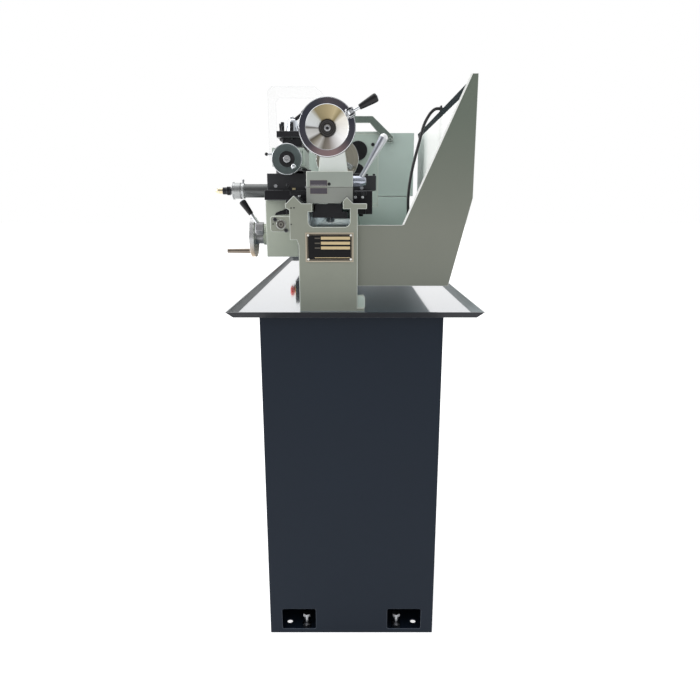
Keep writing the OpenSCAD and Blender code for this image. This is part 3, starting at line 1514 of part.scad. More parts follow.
stand_cabinet_right();
stand_cabinet_left();
stand_door_right();
stand_door_left();
frame_fasteners();
chip_tray();
splash_guard();
bed();
nameplate();
leadscrew_brackets();
rack();
headstock();
headstock_cover();
spindle();
spindle_bearings();
spindle_gears();
idler_gear();
leadscrew();
motor();
motor_pulley();
drive_belt();
motor_cover();
electric_box();
gear_cover();
chuck_body();
chuck_jaw_1();
chuck_jaw_2();
chuck_jaw_3();
chuck_guard_arm();
chuck_guard_shield();
control_box();
emergency_stop();
start_button();
speed_knob();
saddle();
saddle_retainers();
apron();
half_nut_upper();
half_nut_lower();
feed_lever();
apron_handwheel();
rack_pinion();
cross_slide();
cross_feed_screw();
compound_base();
compound_slide();
compound_handwheel();
tool_post();
tool_post_screws();
tool_post_lever();
tailstock_base();
tailstock_body();
quill();
tailstock_handwheel();
tailstock_handle();
quill_lock_lever();
tailstock_clamp_lever();
tailstock_clamp_plate();
supply_lead();
lead_fittings();
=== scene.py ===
"""Bench lathe on a two-cabinet stand: the looks of every piece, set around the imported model."""

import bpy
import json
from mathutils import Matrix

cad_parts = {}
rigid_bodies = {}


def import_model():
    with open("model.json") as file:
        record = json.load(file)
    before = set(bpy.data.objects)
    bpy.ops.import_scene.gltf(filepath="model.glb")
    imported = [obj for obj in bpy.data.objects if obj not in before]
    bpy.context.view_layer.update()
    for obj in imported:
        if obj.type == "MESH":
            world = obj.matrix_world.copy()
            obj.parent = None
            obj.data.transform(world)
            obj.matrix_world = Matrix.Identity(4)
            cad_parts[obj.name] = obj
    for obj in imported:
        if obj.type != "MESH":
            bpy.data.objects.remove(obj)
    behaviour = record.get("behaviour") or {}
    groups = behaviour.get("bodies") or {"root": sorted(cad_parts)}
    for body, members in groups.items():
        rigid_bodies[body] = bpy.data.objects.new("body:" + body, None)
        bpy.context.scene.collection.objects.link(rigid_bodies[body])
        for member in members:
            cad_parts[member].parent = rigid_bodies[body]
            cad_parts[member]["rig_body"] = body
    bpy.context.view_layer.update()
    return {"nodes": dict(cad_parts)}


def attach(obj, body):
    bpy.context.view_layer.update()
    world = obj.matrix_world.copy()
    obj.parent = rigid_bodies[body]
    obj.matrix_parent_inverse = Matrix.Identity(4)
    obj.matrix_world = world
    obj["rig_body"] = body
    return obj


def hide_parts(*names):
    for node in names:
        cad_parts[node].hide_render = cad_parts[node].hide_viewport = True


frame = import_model()

import json
from math import cos, hypot, pi, radians, sin, tau

import bmesh
import bpy
from mathutils import Vector

# View and studio. The camera stands at the tailstock end and looks along the bed, a little downwards. The room
# is softly lit, white for the lens and, where it is mirrored, greyer behind the camera. Two wide lamps light it.
LENS_PIXELS, FRAME_PIXELS, SENSOR, PITCH_DOWN = 598.4, 700, 36.0, 13.76
scene = bpy.context.scene


def placed(name, data, where=(0, 0, 0), turn=(0, 0, 0)):
    made = bpy.data.objects.new(name, data)
    made.location, made.rotation_euler = where, turn
    scene.collection.objects.link(made)
    return made


view = bpy.data.cameras.new("view_camera")
view.sensor_width = SENSOR
view.lens = LENS_PIXELS * SENSOR / FRAME_PIXELS
view.shift_x = -1.5 / FRAME_PIXELS
view.clip_end = 60
scene.camera = placed("view_camera", view, (1.990, 0, 1.062), (radians(90 - PITCH_DOWN), 0, radians(90)))
scene.view_settings.view_transform = "Standard"


class Value:
    """One output of a node. Sums, products and quotients of values add the Math nodes."""

    def __init__(self, graph, socket):
        self.graph, self.socket = graph, socket

    def math(self, operation, *others, clamp=False):
        return self.graph.node("Math", dict(enumerate((self, *others))), operation=operation, use_clamp=clamp)

    def __add__(self, other):
        return self.math("ADD", other)

    def __sub__(self, other):
        return self.math("SUBTRACT", other)

    def __rsub__(self, other):
        return (self * -1) + other

    def __mul__(self, other):
        return self.math("MULTIPLY", other)

    def __truediv__(self, other):
        return self.math("DIVIDE", other)

    def over(self, edge, soft):
        """0 below the edge, 1 above it, with a soft change between."""
        return self.math("SUBTRACT", edge - soft / 2).math("DIVIDE", soft, clamp=True)

    __radd__ = __add__
    __rmul__ = __mul__


def tone(colour, gain=1.0):
    """A colour as a screen shows it, 0 to 255 a channel, made linear."""
    return (*(min(1.0, gain * ((c / 255 + 0.055) / 1.055) ** 2.4) for c in colour), 1.0)


class Graph:
    """The nodes of one material, world or modifier. A shader node's kind leaves out ShaderNode."""

    def __init__(self, owner):
        self.owner = self.tree = owner
        if not isinstance(owner, bpy.types.NodeTree):
            owner.use_nodes = True
            self.tree = owner.node_tree
            self.tree.nodes.clear()

    def node(self, kind, inputs=None, out=0, stops=(), **settings):
        made = self.tree.nodes.new(kind if "Node" in kind else "ShaderNode" + kind)
        for name, setting in settings.items():
            setattr(made, name, setting)
        for k, (at, colour) in enumerate(stops):
            stop = made.color_ramp.elements[k] if k < 2 else made.color_ramp.elements.new(at)
            stop.position, stop.color = at, colour
        for name, value in (inputs or {}).items():
            if isinstance(value, Value):
                self.tree.links.new(value.socket, made.inputs[name])
            elif value is not None:
                made.inputs[name].default_value = value
        return Value(self, made.outputs[out]) if made.outputs else None

    def axis(self, vector, k):
        return self.node("SeparateXYZ", {0: vector}, k)

    def vector(self, operation, *inputs, out=0):
        return self.node("VectorMath", dict(enumerate(inputs)), out, operation=operation)

    def noise(self, vector, scale=1.0, detail=2.0, rough=0.5):
        return self.node("TexNoise", {"Vector": vector, "Scale": scale, "Detail": detail, "Roughness": rough})

    def grain(self, place, pitch, stretch=(1, 1, 1), detail=2.0, rough=0.5):
        """Noise with this pitch in millimetres, drawn out along the axes that are stretched."""
        return self.noise(self.vector("MULTIPLY", place, [1 / s for s in stretch]), 1000 / pitch, detail, rough)

    def bump(self, depth, height, normal=None):
        return self.node("Bump", {"Distance": depth / 1000, "Height": height, "Normal": normal})

    def mix(self, share, a, b):
        return self.node("Mix", {0: share, 6: a, 7: b}, 2, data_type="RGBA")

    def shades(self, share, colour, mottle, low=0.0, high=1.0):
        """A colour from a little darker to a little paler."""
        stops = [(low, tone(colour, 1 - mottle)), (high, tone(colour, 1 + mottle))]
        return self.node("ValToRGB", {"Fac": share}, stops=stops)

    def surface(self, kind="BsdfPrincipled", **inputs):
        """Ends a material. An input's name has _ for each space."""
        shader = self.node(kind, {name.replace("_", " "): value for name, value in inputs.items()})
        self.node("OutputMaterial", {"Surface": shader})
        return self.owner


room = Graph(bpy.data.worlds.new("room"))
scene.world = room.owner
direct, through, mirrored = (room.node("LightPath", out=f"Is {ray} Ray")
    for ray in ("Camera", "Transmission", "Glossy"))
x, z = (room.axis(room.node("TexCoord", out="Generated"), k) for k in (0, 2))
level = 1.0 - 0.62 * x.over(0.35, 1.0) * (1 - 0.6 * z.over(0.75, 0.5))
soft = 0.84 + 0.2 * z.over(0.4, 1.6)
seen = (direct + through).math("MINIMUM", 1)
strength = seen + (1 - seen) * (mirrored * level * 0.92 + (1 - mirrored) * soft)
room.node("OutputWorld", {"Surface": room.node("Background", {"Color": (1, 1, 1, 1), "Strength": strength})})
for name, place, size, energy in (
    ("lamp_above", (-0.3, -0.5, 3.4), 2.4, 26),
    ("lamp_side", (0.6, -3.2, 2.2), 1.8, 55),
):
    lamp = bpy.data.lights.new(name, "AREA")
    lamp.energy, lamp.size = energy, size
    placed(name, lamp, place, (Vector((0, 0, 1)) - Vector(place)).to_track_quat("-Z", "Y").to_euler())
ground = bpy.data.meshes.new("floor")
ground.from_pydata([(-30, -30, 0), (30, -30, 0), (30, 30, 0), (-30, 30, 0)], [], [(0, 1, 2, 3)])
pale = Graph(bpy.data.materials.new("floor"))
seen = pale.node("LightPath", out="Is Camera Ray") + pale.node("LightPath", out="Is Glossy Ray")
matt = pale.node("BsdfDiffuse", {"Color": (0.66, 0.66, 0.66, 1)})
glow = pale.node("Emission", {"Strength": seen * 0.74})
pale.node("OutputMaterial", {"Surface": pale.node("AddShader", {0: matt, 1: glow})})
ground.materials.append(pale.owner)
placed("floor", ground)


# Stand: two cabinets of folded and welded sheet steel, 2 mm thick, with a satin dark powder coat.
# Their doors hang on pins and close with a small knob.
def begin(name):
    """The nodes of a new material, and the place on the piece in metres."""
    g = Graph(bpy.data.materials.new(name))
    return g, g.node("TexCoord", out="Object")


def finish(name, colour, roughness, metallic=0.0, mottle=0.08, patch=60, spread=0.06, relief=(), coat=0.0,
        gloss=0.5, fade=None):
    """A material: a colour that is a little uneven, a roughness that goes with it and a fine relief. Each relief
    is (depth, pitch) in millimetres and may add a stretch, and a fade is (axis, from, to, colour)."""
    g, place = begin(name)
    cloud = g.grain(place, patch, detail=5.0, rough=0.6).over(0.5, 0.6)
    tint = g.shades(cloud, colour, mottle)
    if fade:
        axis, low, high, other = fade
        share = (g.axis(place, axis) - low / 1000).math("DIVIDE", (high - low) / 1000, clamp=True)
        tint = g.mix(share, tint, tone(other))
    bump = None
    for depth, pitch, *stretch in relief:
        bump = g.bump(depth, g.grain(place, pitch, *stretch), bump)
    return g.surface(Base_Color=tint, Metallic=metallic, Roughness=cloud * spread + (roughness - spread / 2),
        Coat_Weight=coat, Coat_Roughness=0.12, Specular_IOR_Level=gloss, Normal=bump)


stand_coat = finish("stand_coat", (26, 35, 47), 0.4, relief=[(0.05, 2.2)], mottle=0.06, patch=240, gloss=0.16)
# The eased edges take a paler coat: painted highlight along them, partly wear.
stand_edge = finish("stand_coat_edge", (84, 92, 104), 0.34, relief=[(0.03, 2.2)], mottle=0.1, patch=30, gloss=0.3)


def settle(mesh, name, finishes, body=None, angle=38):
    """Makes a piece from a finished mesh. Without a body it stands for the CAD node of its name."""
    data = bpy.data.meshes.new(name)
    mesh.to_mesh(data)
    mesh.free()
    data.polygons.foreach_set("use_smooth", [True] * len(data.polygons))
    data.set_sharp_from_angle(angle=radians(angle))
    for each in finishes:
        data.materials.append(each)
    piece = placed(name if body else name + "_finished", data)
    piece.modifiers.new("even_shading", "WEIGHTED_NORMAL").keep_sharp = True
    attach(piece, body or frame["nodes"][name]["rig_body"])
    if not body:
        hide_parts(name)


def roomy(edge, room):
    """Whether both faces beside an edge reach this far from it."""
    start = edge.verts[0].co
    way = (edge.verts[1].co - start).normalized()

    def away(corner):
        return ((corner.co - start) - way * (corner.co - start).dot(way)).length

    return all(max(away(v) for v in face.verts) > room for face in edge.link_faces)


WELD, FLAT, CRISP = 2e-6, radians(0.5), radians(30)


def eased(node, finishes, ease, where=None, rounds=2):
    """The CAD node's shape with its sharp edges eased. Finishes go in pairs: faces, then their eased edges;
    where(place in mm, normal) says which pair a face takes, and True is the second."""
    mesh = bmesh.new()
    mesh.from_mesh(frame["nodes"][node].data)
    bmesh.ops.remove_doubles(mesh, verts=mesh.verts, dist=WELD)
    bmesh.ops.dissolve_limit(mesh, angle_limit=FLAT, verts=mesh.verts, edges=mesh.edges)
    mesh.normal_update()
    for face in mesh.faces:
        face.material_index = 2 * where(face.calc_center_median() * 1000, face.normal) if where else 0
    crisp = [e for e in mesh.edges if len(e.link_faces) == 2 and e.is_convex and e.calc_face_angle() > CRISP
        and roomy(e, ease * 0.0024)]
    if crisp:
        bevelled = bmesh.ops.bevel(mesh, geom=crisp, offset=ease / 1000, segments=rounds, profile=0.5, affect="EDGES",
            material=-1)
        for face in bevelled["faces"]:
            if face.is_valid:
                face.material_index += 1
    settle(mesh, node, finishes)


for side in ("right", "left"):
    for node in ("stand_cabinet_", "stand_door_"):
        eased(node + side, (stand_coat, stand_edge), 0.7)

# Fasteners: zinc-plated hexagon bolts, washers and nuts between feet, tray and cabinets, and the levelling
# screws in the cabinets' windows.
zinc = finish("zinc_plate", (176, 178, 182), 0.3, 1, mottle=0.12, patch=9, relief=[(0.02, 0.8)])
# The paler plating on the eased edges is painted highlight.
zinc_edge = finish("zinc_plate_edge", (205, 207, 210), 0.22, 1, patch=9)
eased("frame_fasteners", (zinc, zinc_edge), 0.35)


# Chip tray: one sheet with four sloped and hemmed lips, in the stand's coat but thick and glossy. Seen along
# its floor it mirrors the room and the machine.
def mirror_coat(name, colour):
    g, place = begin(name)
    cloud = g.grain(place, 180, detail=4.0).over(0.5, 0.7)
    wave = g.bump(0.04, g.grain(place, 26))
    base = g.node("BsdfPrincipled", {"Base Color": g.shades(cloud, colour, 0.06), "Roughness": cloud * 0.04 + 0.16,
        "Coat Weight": 1.0, "Coat Roughness": 0.05, "Normal": wave})
    gloss = g.node("BsdfPrincipled",
        {"Base Color": tone((250, 252, 255)), "Metallic": 1.0, "Roughness": 0.06, "Normal": wave})
    share = g.node("LayerWeight", {"Blend": 0.5, "Normal": wave}, "Facing").math("POWER", 5.0).over(0.34, 0.5)
    g.node("OutputMaterial", {"Surface": g.node("MixShader", {0: share, 1: base, 2: gloss})})
    return g.owner


tray_gloss = mirror_coat("tray_gloss", (84, 106, 124))
# The sloped lips fade from dark grey at the front to pale grey at the back: painted reflection.
tray_coat = finish("tray_coat", (62, 67, 70), 0.36, relief=[(0.03, 2.0)], mottle=0.06, patch=200, gloss=0.25,
    fade=(1, -150, 250, (128, 138, 142)))
# The paler coat on the tray's eased edges is painted highlight.
tray_edge = finish("tray_coat_edge", (112, 116, 118), 0.28, mottle=0.1, patch=30, coat=0.3)
tray_under = finish("tray_coat_under", (38, 40, 45), 0.4, relief=[(0.03, 2.0)], mottle=0.06, patch=200, gloss=0.2)
eased("chip_tray", (tray_gloss, tray_edge, tray_coat, tray_edge, tray_under, tray_edge), 0.5,
    lambda at, out: 0 if out.z > 0.98 else 1 if out.z > 0.05 else 2)

# Splash guard: a tall folded sheet behind the bed, in the machine's grey-green. Its front faces are painted
# palest, fading to white towards the tailstock end: painted highlight. The end flange is painted darker, and darker
# still towards its top: painted shade. The hem along its top is painted dark as painted shade.
X, Y, Z = Vector((1, 0, 0)), Vector((0, 1, 0)), Vector((0, 0, 1))


def round_axis(along):
    along = Vector(along).normalized()
    across = along.orthogonal().normalized()
    return along, across, along.cross(across)


class Shape:
    """A piece in the making, in millimetres. Each part says which of the piece's finishes is its paint, how far
    its corners are eased, and which finish the eased edges take."""

    def __init__(self):
        self.mesh = bmesh.new()

    def add(self, points, faces, paint=0, ease=0.0, edge=None, strips=()):
        """One closed part. The faces numbered in strips take the edge finish too."""
        part = bmesh.new()
        edge = paint if edge is None else edge
        made = [part.verts.new(p) for p in points]
        for k, ring in enumerate(faces):
            part.faces.new([made[corner] for corner in ring]).material_index = edge if k in strips else paint
        bmesh.ops.remove_doubles(part, verts=part.verts, dist=1e-4)
        bmesh.ops.recalc_face_normals(part, faces=part.faces)
        if ease:
            crisp = [e for e in part.edges if len(e.link_faces) == 2 and e.calc_face_angle() > 0.55]
            bevelled = bmesh.ops.bevel(part, geom=crisp, offset=ease, segments=2, profile=0.5, affect="EDGES",
                clamp_overlap=True)
            for face in bevelled["faces"]:
                face.material_index = edge
        spare = bpy.data.meshes.new("part")
        part.to_mesh(spare)
        part.free()
        self.mesh.from_mesh(spare)
        bpy.data.meshes.remove(spare)
        return self

    def spun(self, start, along, profile, paint=0, ease=0.0, edge=None, sides=72):
        """A surface of revolution. The profile lists (distance along, radius), and its corners are eased."""
        along, across, third = round_axis(along)
        rounded, soft = [], set()
        for k, (h, r) in enumerate(profile):
            here = Vector((h, r))
            legs = [Vector(p) - here for p in profile[k - 1:k] + profile[k + 1:k + 2]]
            short = min([ease, *(leg.length * 0.45 for leg in legs)]) if r > 0 and len(legs) == 2 else 0
            if short > 0.02 and legs[0].angle(legs[1]) < pi - 0.3:
                a, b = (here + leg.normalized() * short for leg in legs)
                soft |= {len(rounded), len(rounded) + 1}
                rounded += [a, (a + b) * 0.25 + here * 0.5, b]
            else:
                rounded.append((h, r))
        points, rings, faces, strips = [], [], [], set()
        for h, r in rounded:
            corners = sides if r > 1e-6 else 1
            rings.append(range(len(points), len(points) + corners))
            for a in (tau * k / sides for k in range(corners)):
                points.append(Vector(start) + along * h + (across * cos(a) + third * sin(a)) * r)
        for strip, (low, high) in enumerate(zip(rings, rings[1:])):
            for k in range(sides):
                quad = low[k % len(low)], low[(k + 1) % len(low)], high[(k + 1) % len(high)], high[k % len(high)]
                ring = tuple(dict.fromkeys(quad))
                if len(ring) > 2:
                    strips |= {len(faces)} if strip in soft else set()
                    faces.append(ring)
        return self.add(points, faces, paint, edge=edge, strips=strips)

    def turned(self, start, along, profile, *paint, **more):
        """A body of revolution with a flat end at its start, and at its end too unless the profile closes it."""
        end = [(profile[-1][0], 0)] if profile[-1][1] else []
        return self.spun(start, along, [(0, 0), *profile, *end], *paint, **more)

    def rod(self, a, b, radius, end=None, paint=0, edge=None):
        """A straight or tapered round rod with eased ends."""
        a, b = Vector(a), Vector(b)
        length, end = (b - a).length, radius if end is None else end
        return self.turned(a, b - a, [(0, radius), (length, end)], paint, 0.5, edge, 40)

    def ball(self, centre, radius, paint=0):
        turns = [pi * k / 20 for k in range(21)]
        return self.spun(centre, Z, [(-radius * cos(a), radius * sin(a)) for a in turns], paint, sides=40)

    def between(self, low, high, paint=0, ease=0.6, edge=None):
        """A body between two outlines with as many points."""
        n = len(low)
        sides = [(k, (k + 1) % n, n + (k + 1) % n, n + k) for k in range(n)]
        return self.add([*low, *high], [range(n), range(2 * n - 1, n - 1, -1), *sides], paint, ease, edge)

    def prism(self, outline, start, end, paint=0, ease=0.6, edge=None):
        """An outline of (Y, Z) points pushed along X."""
        return self.between(*([(x, *point) for point in outline] for x in (start, end)), paint, ease, edge)

    def block(self, low, high, paint=0, ease=0.6, edge=None):
        (x0, y0, z0), (x1, y1, z1) = low, high
        return self.prism([(y0, z0), (y1, z0), (y1, z1), (y0, z1)], x0, x1, paint, ease, edge)

    def in_metres(self):
        bmesh.ops.scale(self.mesh, vec=(0.001, 0.001, 0.001), verts=self.mesh.verts)
        return self.mesh

    def done(self, name, slot, finishes, body=None, angle=38):
        settle(self.in_metres(), name, finishes, body, angle)


guard_coat = finish("guard_coat", (176, 196, 188), 0.36, relief=[(0.04, 2.4)], mottle=0.03, patch=300,
    fade=(0, -520, -200, (254, 255, 253)))
guard_plate_shade = finish("guard_coat_plate_shade", (131, 134, 124), 0.36, relief=[(0.04, 2.4)], mottle=0.04, patch=260,
    gloss=0.25, fade=(2, 1000, 1250, (109, 118, 107)))
# Near-white finish for the guard's eased edges: painted highlight.
guard_edge_highlight = finish("guard_coat_edge_highlight", (250, 251, 248), 0.3, mottle=0.02, patch=40)
guard_hem_shade = finish("guard_coat_hem_shade", (52, 64, 66), 0.36, mottle=0.1, gloss=0.2)
guard_low = finish("guard_coat_low", (150, 164, 156), 0.36, relief=[(0.04, 2.4)], mottle=0.05, patch=300)
guard_shade = finish("guard_coat_shade", (30, 40, 43), 0.6, gloss=0.04)
FOLD_Y, HEM_Z = 262, 1320
# End flange faces take the darker copy (painted shade), inner front faces the one fading to white (painted highlight),
# faces above the hem line the dark one (painted shade), and the rest a middle tone.
eased("splash_guard",
    (guard_coat, guard_edge_highlight, guard_plate_shade, guard_edge_highlight, guard_hem_shade, guard_hem_shade, guard_low, guard_edge_highlight), 0.6,
    lambda at, out: 1 if out.x > 0.9 else 0 if out.y < -0.5 and at.y > FOLD_Y else 2 if at.z > HEM_Z else 3)
# The end flange's cut edge, rolled towards the front, with a near-white painted highlight along it
Shape().prism([(113.2, 1015.3), (252.4, 1328.6), (256.8, 1328.6), (117.6, 1015.3)], 624.9, 625.8, 0, 0.3).done(
    "guard_rolled_edge", "green_paint", (guard_edge_highlight,), "frame")
# The hem along the top leans forward into its own shade
Shape().prism([(268.5, 1306), (263.4, 1328.4), (262.8, 1328.4), (267.9, 1306)], -518, 622, 0, 0.2).done(
    "guard_top_hem", "green_paint", (guard_shade,), "frame")


# Bed: one iron casting on two feet, with ribs between its walls. The ways are ground bright with fine lines
# along the bed; all else is painted grey-green. Inside, between the walls, it is painted pale blue-white as
# painted light falling through the gap between the ways.
def casting(name, colour, patch=90, fade=None):
    """Paint over the slightly wavy skin of a casting."""
    return finish(name, colour, 0.38, relief=[(0.1, 7), (0.03, 1.6)], mottle=0.06, patch=patch, gloss=0.3, fade=fade)


cast_paint = casting("casting_paint", (147, 151, 139))
# The casting's eased edges are painted near-white: painted highlight, partly wear.
cast_edge = finish("casting_paint_edge", (204, 210, 201), 0.34, relief=[(0.05, 5)], mottle=0.06, patch=16)
cast_inner_painted_light = finish("casting_inner_painted_light", (224, 234, 238), 0.4, relief=[(0.1, 7)], mottle=0.06, patch=40)
# The feet take a paler copy of the casting paint, paler still towards the back: painted light.
foot_paint = casting("foot_paint", (160, 164, 156), fade=(1, -118, 14, (166, 171, 164)))
ground_iron = finish("ground_iron", (150, 152, 154), 0.26, 1, patch=50, relief=[(0.012, 0.7, (60, 1, 1))])
# The brighter eased edges of the ways are painted highlight.
ground_edge = finish("ground_iron_edge", (214, 216, 218), 0.2, 1, patch=20)


def bed_face(at, out):
    if at.z > 1061 and out.z > 0.3:
        return 1
    # Faces inside the bed, between its walls: painted pale as painted light
    if at.x < 625 and abs(at.y + 49.5) < 47 and 975 < at.z < 1050:
        return 2
    return 3 if at.z < 980 else 0


eased("bed",
    (cast_paint, cast_edge, ground_iron, ground_edge, cast_inner_painted_light, cast_edge, foot_paint, cast_edge), 1.3, bed_face)
# The rear foot web is painted far paler than the casting it belongs to: painted highlight.
web_highlight = finish("foot_web_highlight", (198, 212, 202), 0.38, relief=[(0.1, 7)])
Shape().prism([(13, 829.5), (31, 829.5), (31, 851), (27, 858), (13, 858)], 618, 633, 0, 1.2, 1).done(
    "foot_web", "bed_iron", (web_highlight, cast_edge), "frame")


# Nameplate: a thin plate screened black with a pale rim, on four rivets at the bed's tailstock end. It has a
# frame, plain bars and dark dashes.
def stripes(value, edges):
    """1 between each pair of edges, in metres."""
    total = None
    for low, high in edges:
        inside = value.over(low, 0.0002) * (1 - value.over(high, 0.0002))
        total = inside if total is None else total.math("MAXIMUM", inside)
    return total


def plate_print():
    g, place = begin("plate_print")
    y, z = g.axis(place, 1) + 0.049, g.axis(place, 2) - 0.96685
    away = (y.math("ABSOLUTE") - 0.0535).math("MAXIMUM", z.math("ABSOLUTE") - 0.0325)
    rim = stripes(away, [(-0.0030, 0.01), (-0.0052, -0.0046)])
    bars = stripes(y, [(-0.019, 0.0457)]) * stripes(z, [(0.017, 0.0234), (0.0061, 0.0125), (-0.0044, 0.002)])
    marks = stripes(y, [(-0.033, -0.021)]) * stripes(z, [(0.0185, 0.0215), (0.0075, 0.0105), (-0.003, 0.0)])
    rule = stripes(y, [(-0.033, 0.0457)]) * stripes(z, [(-0.0235, -0.0222)])
    pale = (rim + bars + rule).math("MINIMUM", 1)
    black = g.mix(marks, tone((16, 16, 18)), tone((92, 88, 80)))
    brass = g.mix(rim, tone((206, 186, 146)), tone((178, 168, 150)))
    return g.surface(Base_Color=g.mix(pale, black, brass), Metallic=pale * 0.8, Specular_IOR_Level=0.2,
        Roughness=0.42 - pale * 0.14 + g.grain(place, 1.2) * 0.06, Normal=g.bump(0.1, pale))


plate_rim = finish("plate_rim", (214, 206, 190), 0.3, 1, patch=12)
rivet = finish("rivet_steel", (232, 230, 224), 0.28, 1, patch=4)
PLATE_FACE = 639.6
eased("nameplate", (plate_print(), plate_rim, rivet, rivet), 0.25, lambda at, out: at.x > PLATE_FACE)

# Leadscrew brackets and rack: small castings on the bed's front wall, painted with it, each with two blackened
# cap screws, and the hardened rack in short lengths under the front way.
black_oxide = finish("black_oxide", (38, 38, 41), 0.36, 0.6, mottle=0.16, patch=24, relief=[(0.02, 1.2)])
# The grey eased edges of blackened parts are painted highlight, partly wear.
blackened = (black_oxide, finish("black_oxide_edge", (96, 98, 102), 0.3, 0.8, mottle=0.2, patch=8))
BRACKET_FACE = 636.4
eased("leadscrew_brackets", (cast_paint, cast_edge, *blackened), 1.2,
    lambda at, out: at.x > BRACKET_FACE)
pins = Shape()
for x, y, z in ((636, -173.8, 1017.7), (638, -133.3, 1017.1), (638, -133, 1052.3), (638, -126.4, 1052.7)):
    pins.turned((x - 0.4, y, z), X, [(0, 1.7), (0.7, 1.5)], 0, sides=24)
pins.done("bracket_dowels", "steel", (black_oxide,), "frame")
rack_steel = finish("rack_steel", (132, 130, 126), 0.34, 1, mottle=0.15, patch=14, relief=[(0.02, 0.8, (1, 1, 20))])
eased("rack", (rack_steel, zinc_edge), 0.2)


def repeated(name, low, high, count, body, material, start, step=(0, 0, 0), axis=X, centre=(0, 0, 0), turn=0.0,
        ease=0.0):
    """Copies of a small block in a row or round an axis, made by one Geometry Nodes tree. In millimetres."""
    one = bpy.data.meshes.new(name + "_one")
    block = Shape().block(low, high, 0, ease).in_metres()
    block.to_mesh(one)
    block.free()
    one.materials.append(material)
    spent = [placed(name + "_one", one), placed(name + "_maker", bpy.data.meshes.new(name + "_maker"))]
    g = Graph(bpy.data.node_groups.new("row_or_ring", "GeometryNodeTree"))
    g.tree.interface.new_socket("Geometry", in_out="OUTPUT", socket_type="NodeSocketGeometry")
    start, step, centre = ([c / 1000 for c in v] for v in (start, step, centre))
    index = g.node("GeometryNodeInputIndex")
    shift = g.node("VectorMath", {0: step, "Scale": index}, operation="SCALE")
    angle = index * turn
    swung = g.node("VectorRotate", {"Vector": g.vector("ADD", start, shift),
        "Center": centre, "Axis": axis, "Angle": angle})
    turned = g.node("FunctionNodeAxisAngleToRotation", {"Axis": axis, "Angle": angle})
    points = g.node("GeometryNodePoints", {"Count": count, "Position": swung})
    source = g.node("GeometryNodeObjectInfo", {"Object": spent[0]}, "Geometry")
    copies = g.node("GeometryNodeInstanceOnPoints", {"Points": points, "Instance": source, "Rotation": turned})
    g.node("NodeGroupOutput", {"Geometry": g.node("GeometryNodeRealizeInstances", {0: copies})})
    maker = spent[1].modifiers.new("row_or_ring", "NODES")
    maker.node_group = g.tree
    data = bpy.data.meshes.new_from_object(spent[1].evaluated_get(bpy.context.evaluated_depsgraph_get()))
    for each in spent:
        bpy.data.objects.remove(each)
    data.name = name
    piece = placed(name, data)
    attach(piece, body)


# Headstock: a square painted casting on the ways. Two round blackened covers close its lower shafts at the
# chuck end, and a cast lid is screwed on top.
head_paint = casting("headstock_paint", (178, 193, 185), 120)
HEAD_FACE, COVERS_Y = -309.5, 22
eased("headstock", (head_paint, cast_edge, *blackened), 1.6,
    lambda at, out: at.x > HEAD_FACE and abs(at.y - COVERS_Y) < 38)
eased("headstock_cover", (head_paint, cast_edge), 1.2)
Shape().turned((-310.2, 78, 1271), X, [(0, 6.5), (4, 6), (4.6, 5)], 0, 0.3, 1).done(
    "headstock_plug", "black_iron", blackened, "frame")
Shape().block((-330, 34, 1050), (-311, 98, 1062.3), 0, 0.8, 1).done(
    "headstock_foot", "green_paint", (head_paint, cast_edge), "frame")


# Spindle, bearings and chuck: hardened steel. The chuck's body is turned, with fine rings round its axis, and
# its three stepped jaws are ground and slide in its face.
def ringed(name, colour, roughness, centre, along=0, pitch=0.5, depth=0.012, mottle=0.06):
    """Turned metal: fine rings round an axis that runs along X (0), Y (1) or Z (2)."""
    g, place = begin(name)
    from_axis = g.vector("SUBTRACT", place, [c / 1000 for c in centre])
    radius = g.vector("LENGTH", g.vector("MULTIPLY", from_axis, [k != along for k in range(3)]), out="Value")
    path = g.node("CombineXYZ", {0: radius * 1000 / pitch, 1: g.axis(from_axis, along) * 1000 / pitch})
    band = g.noise(path, 0.11, 1.0)
    return g.surface(Base_Color=g.shades(band, colour, mottle, 0.3, 0.7), Metallic=1.0,
        Roughness=band * 0.14 + (roughness - 0.07), Normal=g.bump(depth, g.noise(path)))


SPINDLE_LINE = (0, -50, 1214)
chuck_steel = ringed("chuck_steel", (178, 174, 160), 0.3, SPINDLE_LINE)
# The near-white eased edges of the bright steel are painted highlight.
bright_edge = finish("bright_steel_edge", (224, 226, 228), 0.18, 1, patch=12)
jaw_steel = finish("jaw_steel", (168, 170, 172), 0.27, 1, mottle=0.1, patch=12, relief=[(0.01, 0.5, (1, 12, 1))])
eased("spindle", (chuck_steel, bright_edge), 0.6)
eased("chuck_body", (chuck_steel, bright_edge), 1.0)
eased("spindle_bearings", (jaw_steel, bright_edge), 0.4)
for k in (1, 2, 3):
    eased(f"chuck_jaw_{k}", (jaw_steel, bright_edge), 0.5)

# Gear train and leadscrew: cut steel gears with an oily grey surface, and a rolled screw whose end is faced
# and centred. The belt is moulded rubber with a faint woven back.
gear_steel = finish("gear_steel", (140, 140, 138), 0.3, 1, mottle=0.14, patch=20, relief=[(0.02, 0.9, (10, 1, 1))])
for node, ease in (("spindle_gears", 0.25), ("idler_gear", 0.25), ("motor_pulley", 0.3)):
    eased(node, (gear_steel, bright_edge), ease)
SCREW_LINE = (0, -156, 1017)
screw_steel = ringed("screw_steel", (158, 158, 156), 0.26, SCREW_LINE, pitch=3.0, depth=0.3)
screw_end = ringed("screw_end", (124, 122, 116), 0.34, SCREW_LINE, pitch=0.9, depth=0.06)
eased("leadscrew", (screw_steel, bright_edge, screw_end, bright_edge), 0.5, lambda at, out: abs(out.x) > 0.9)
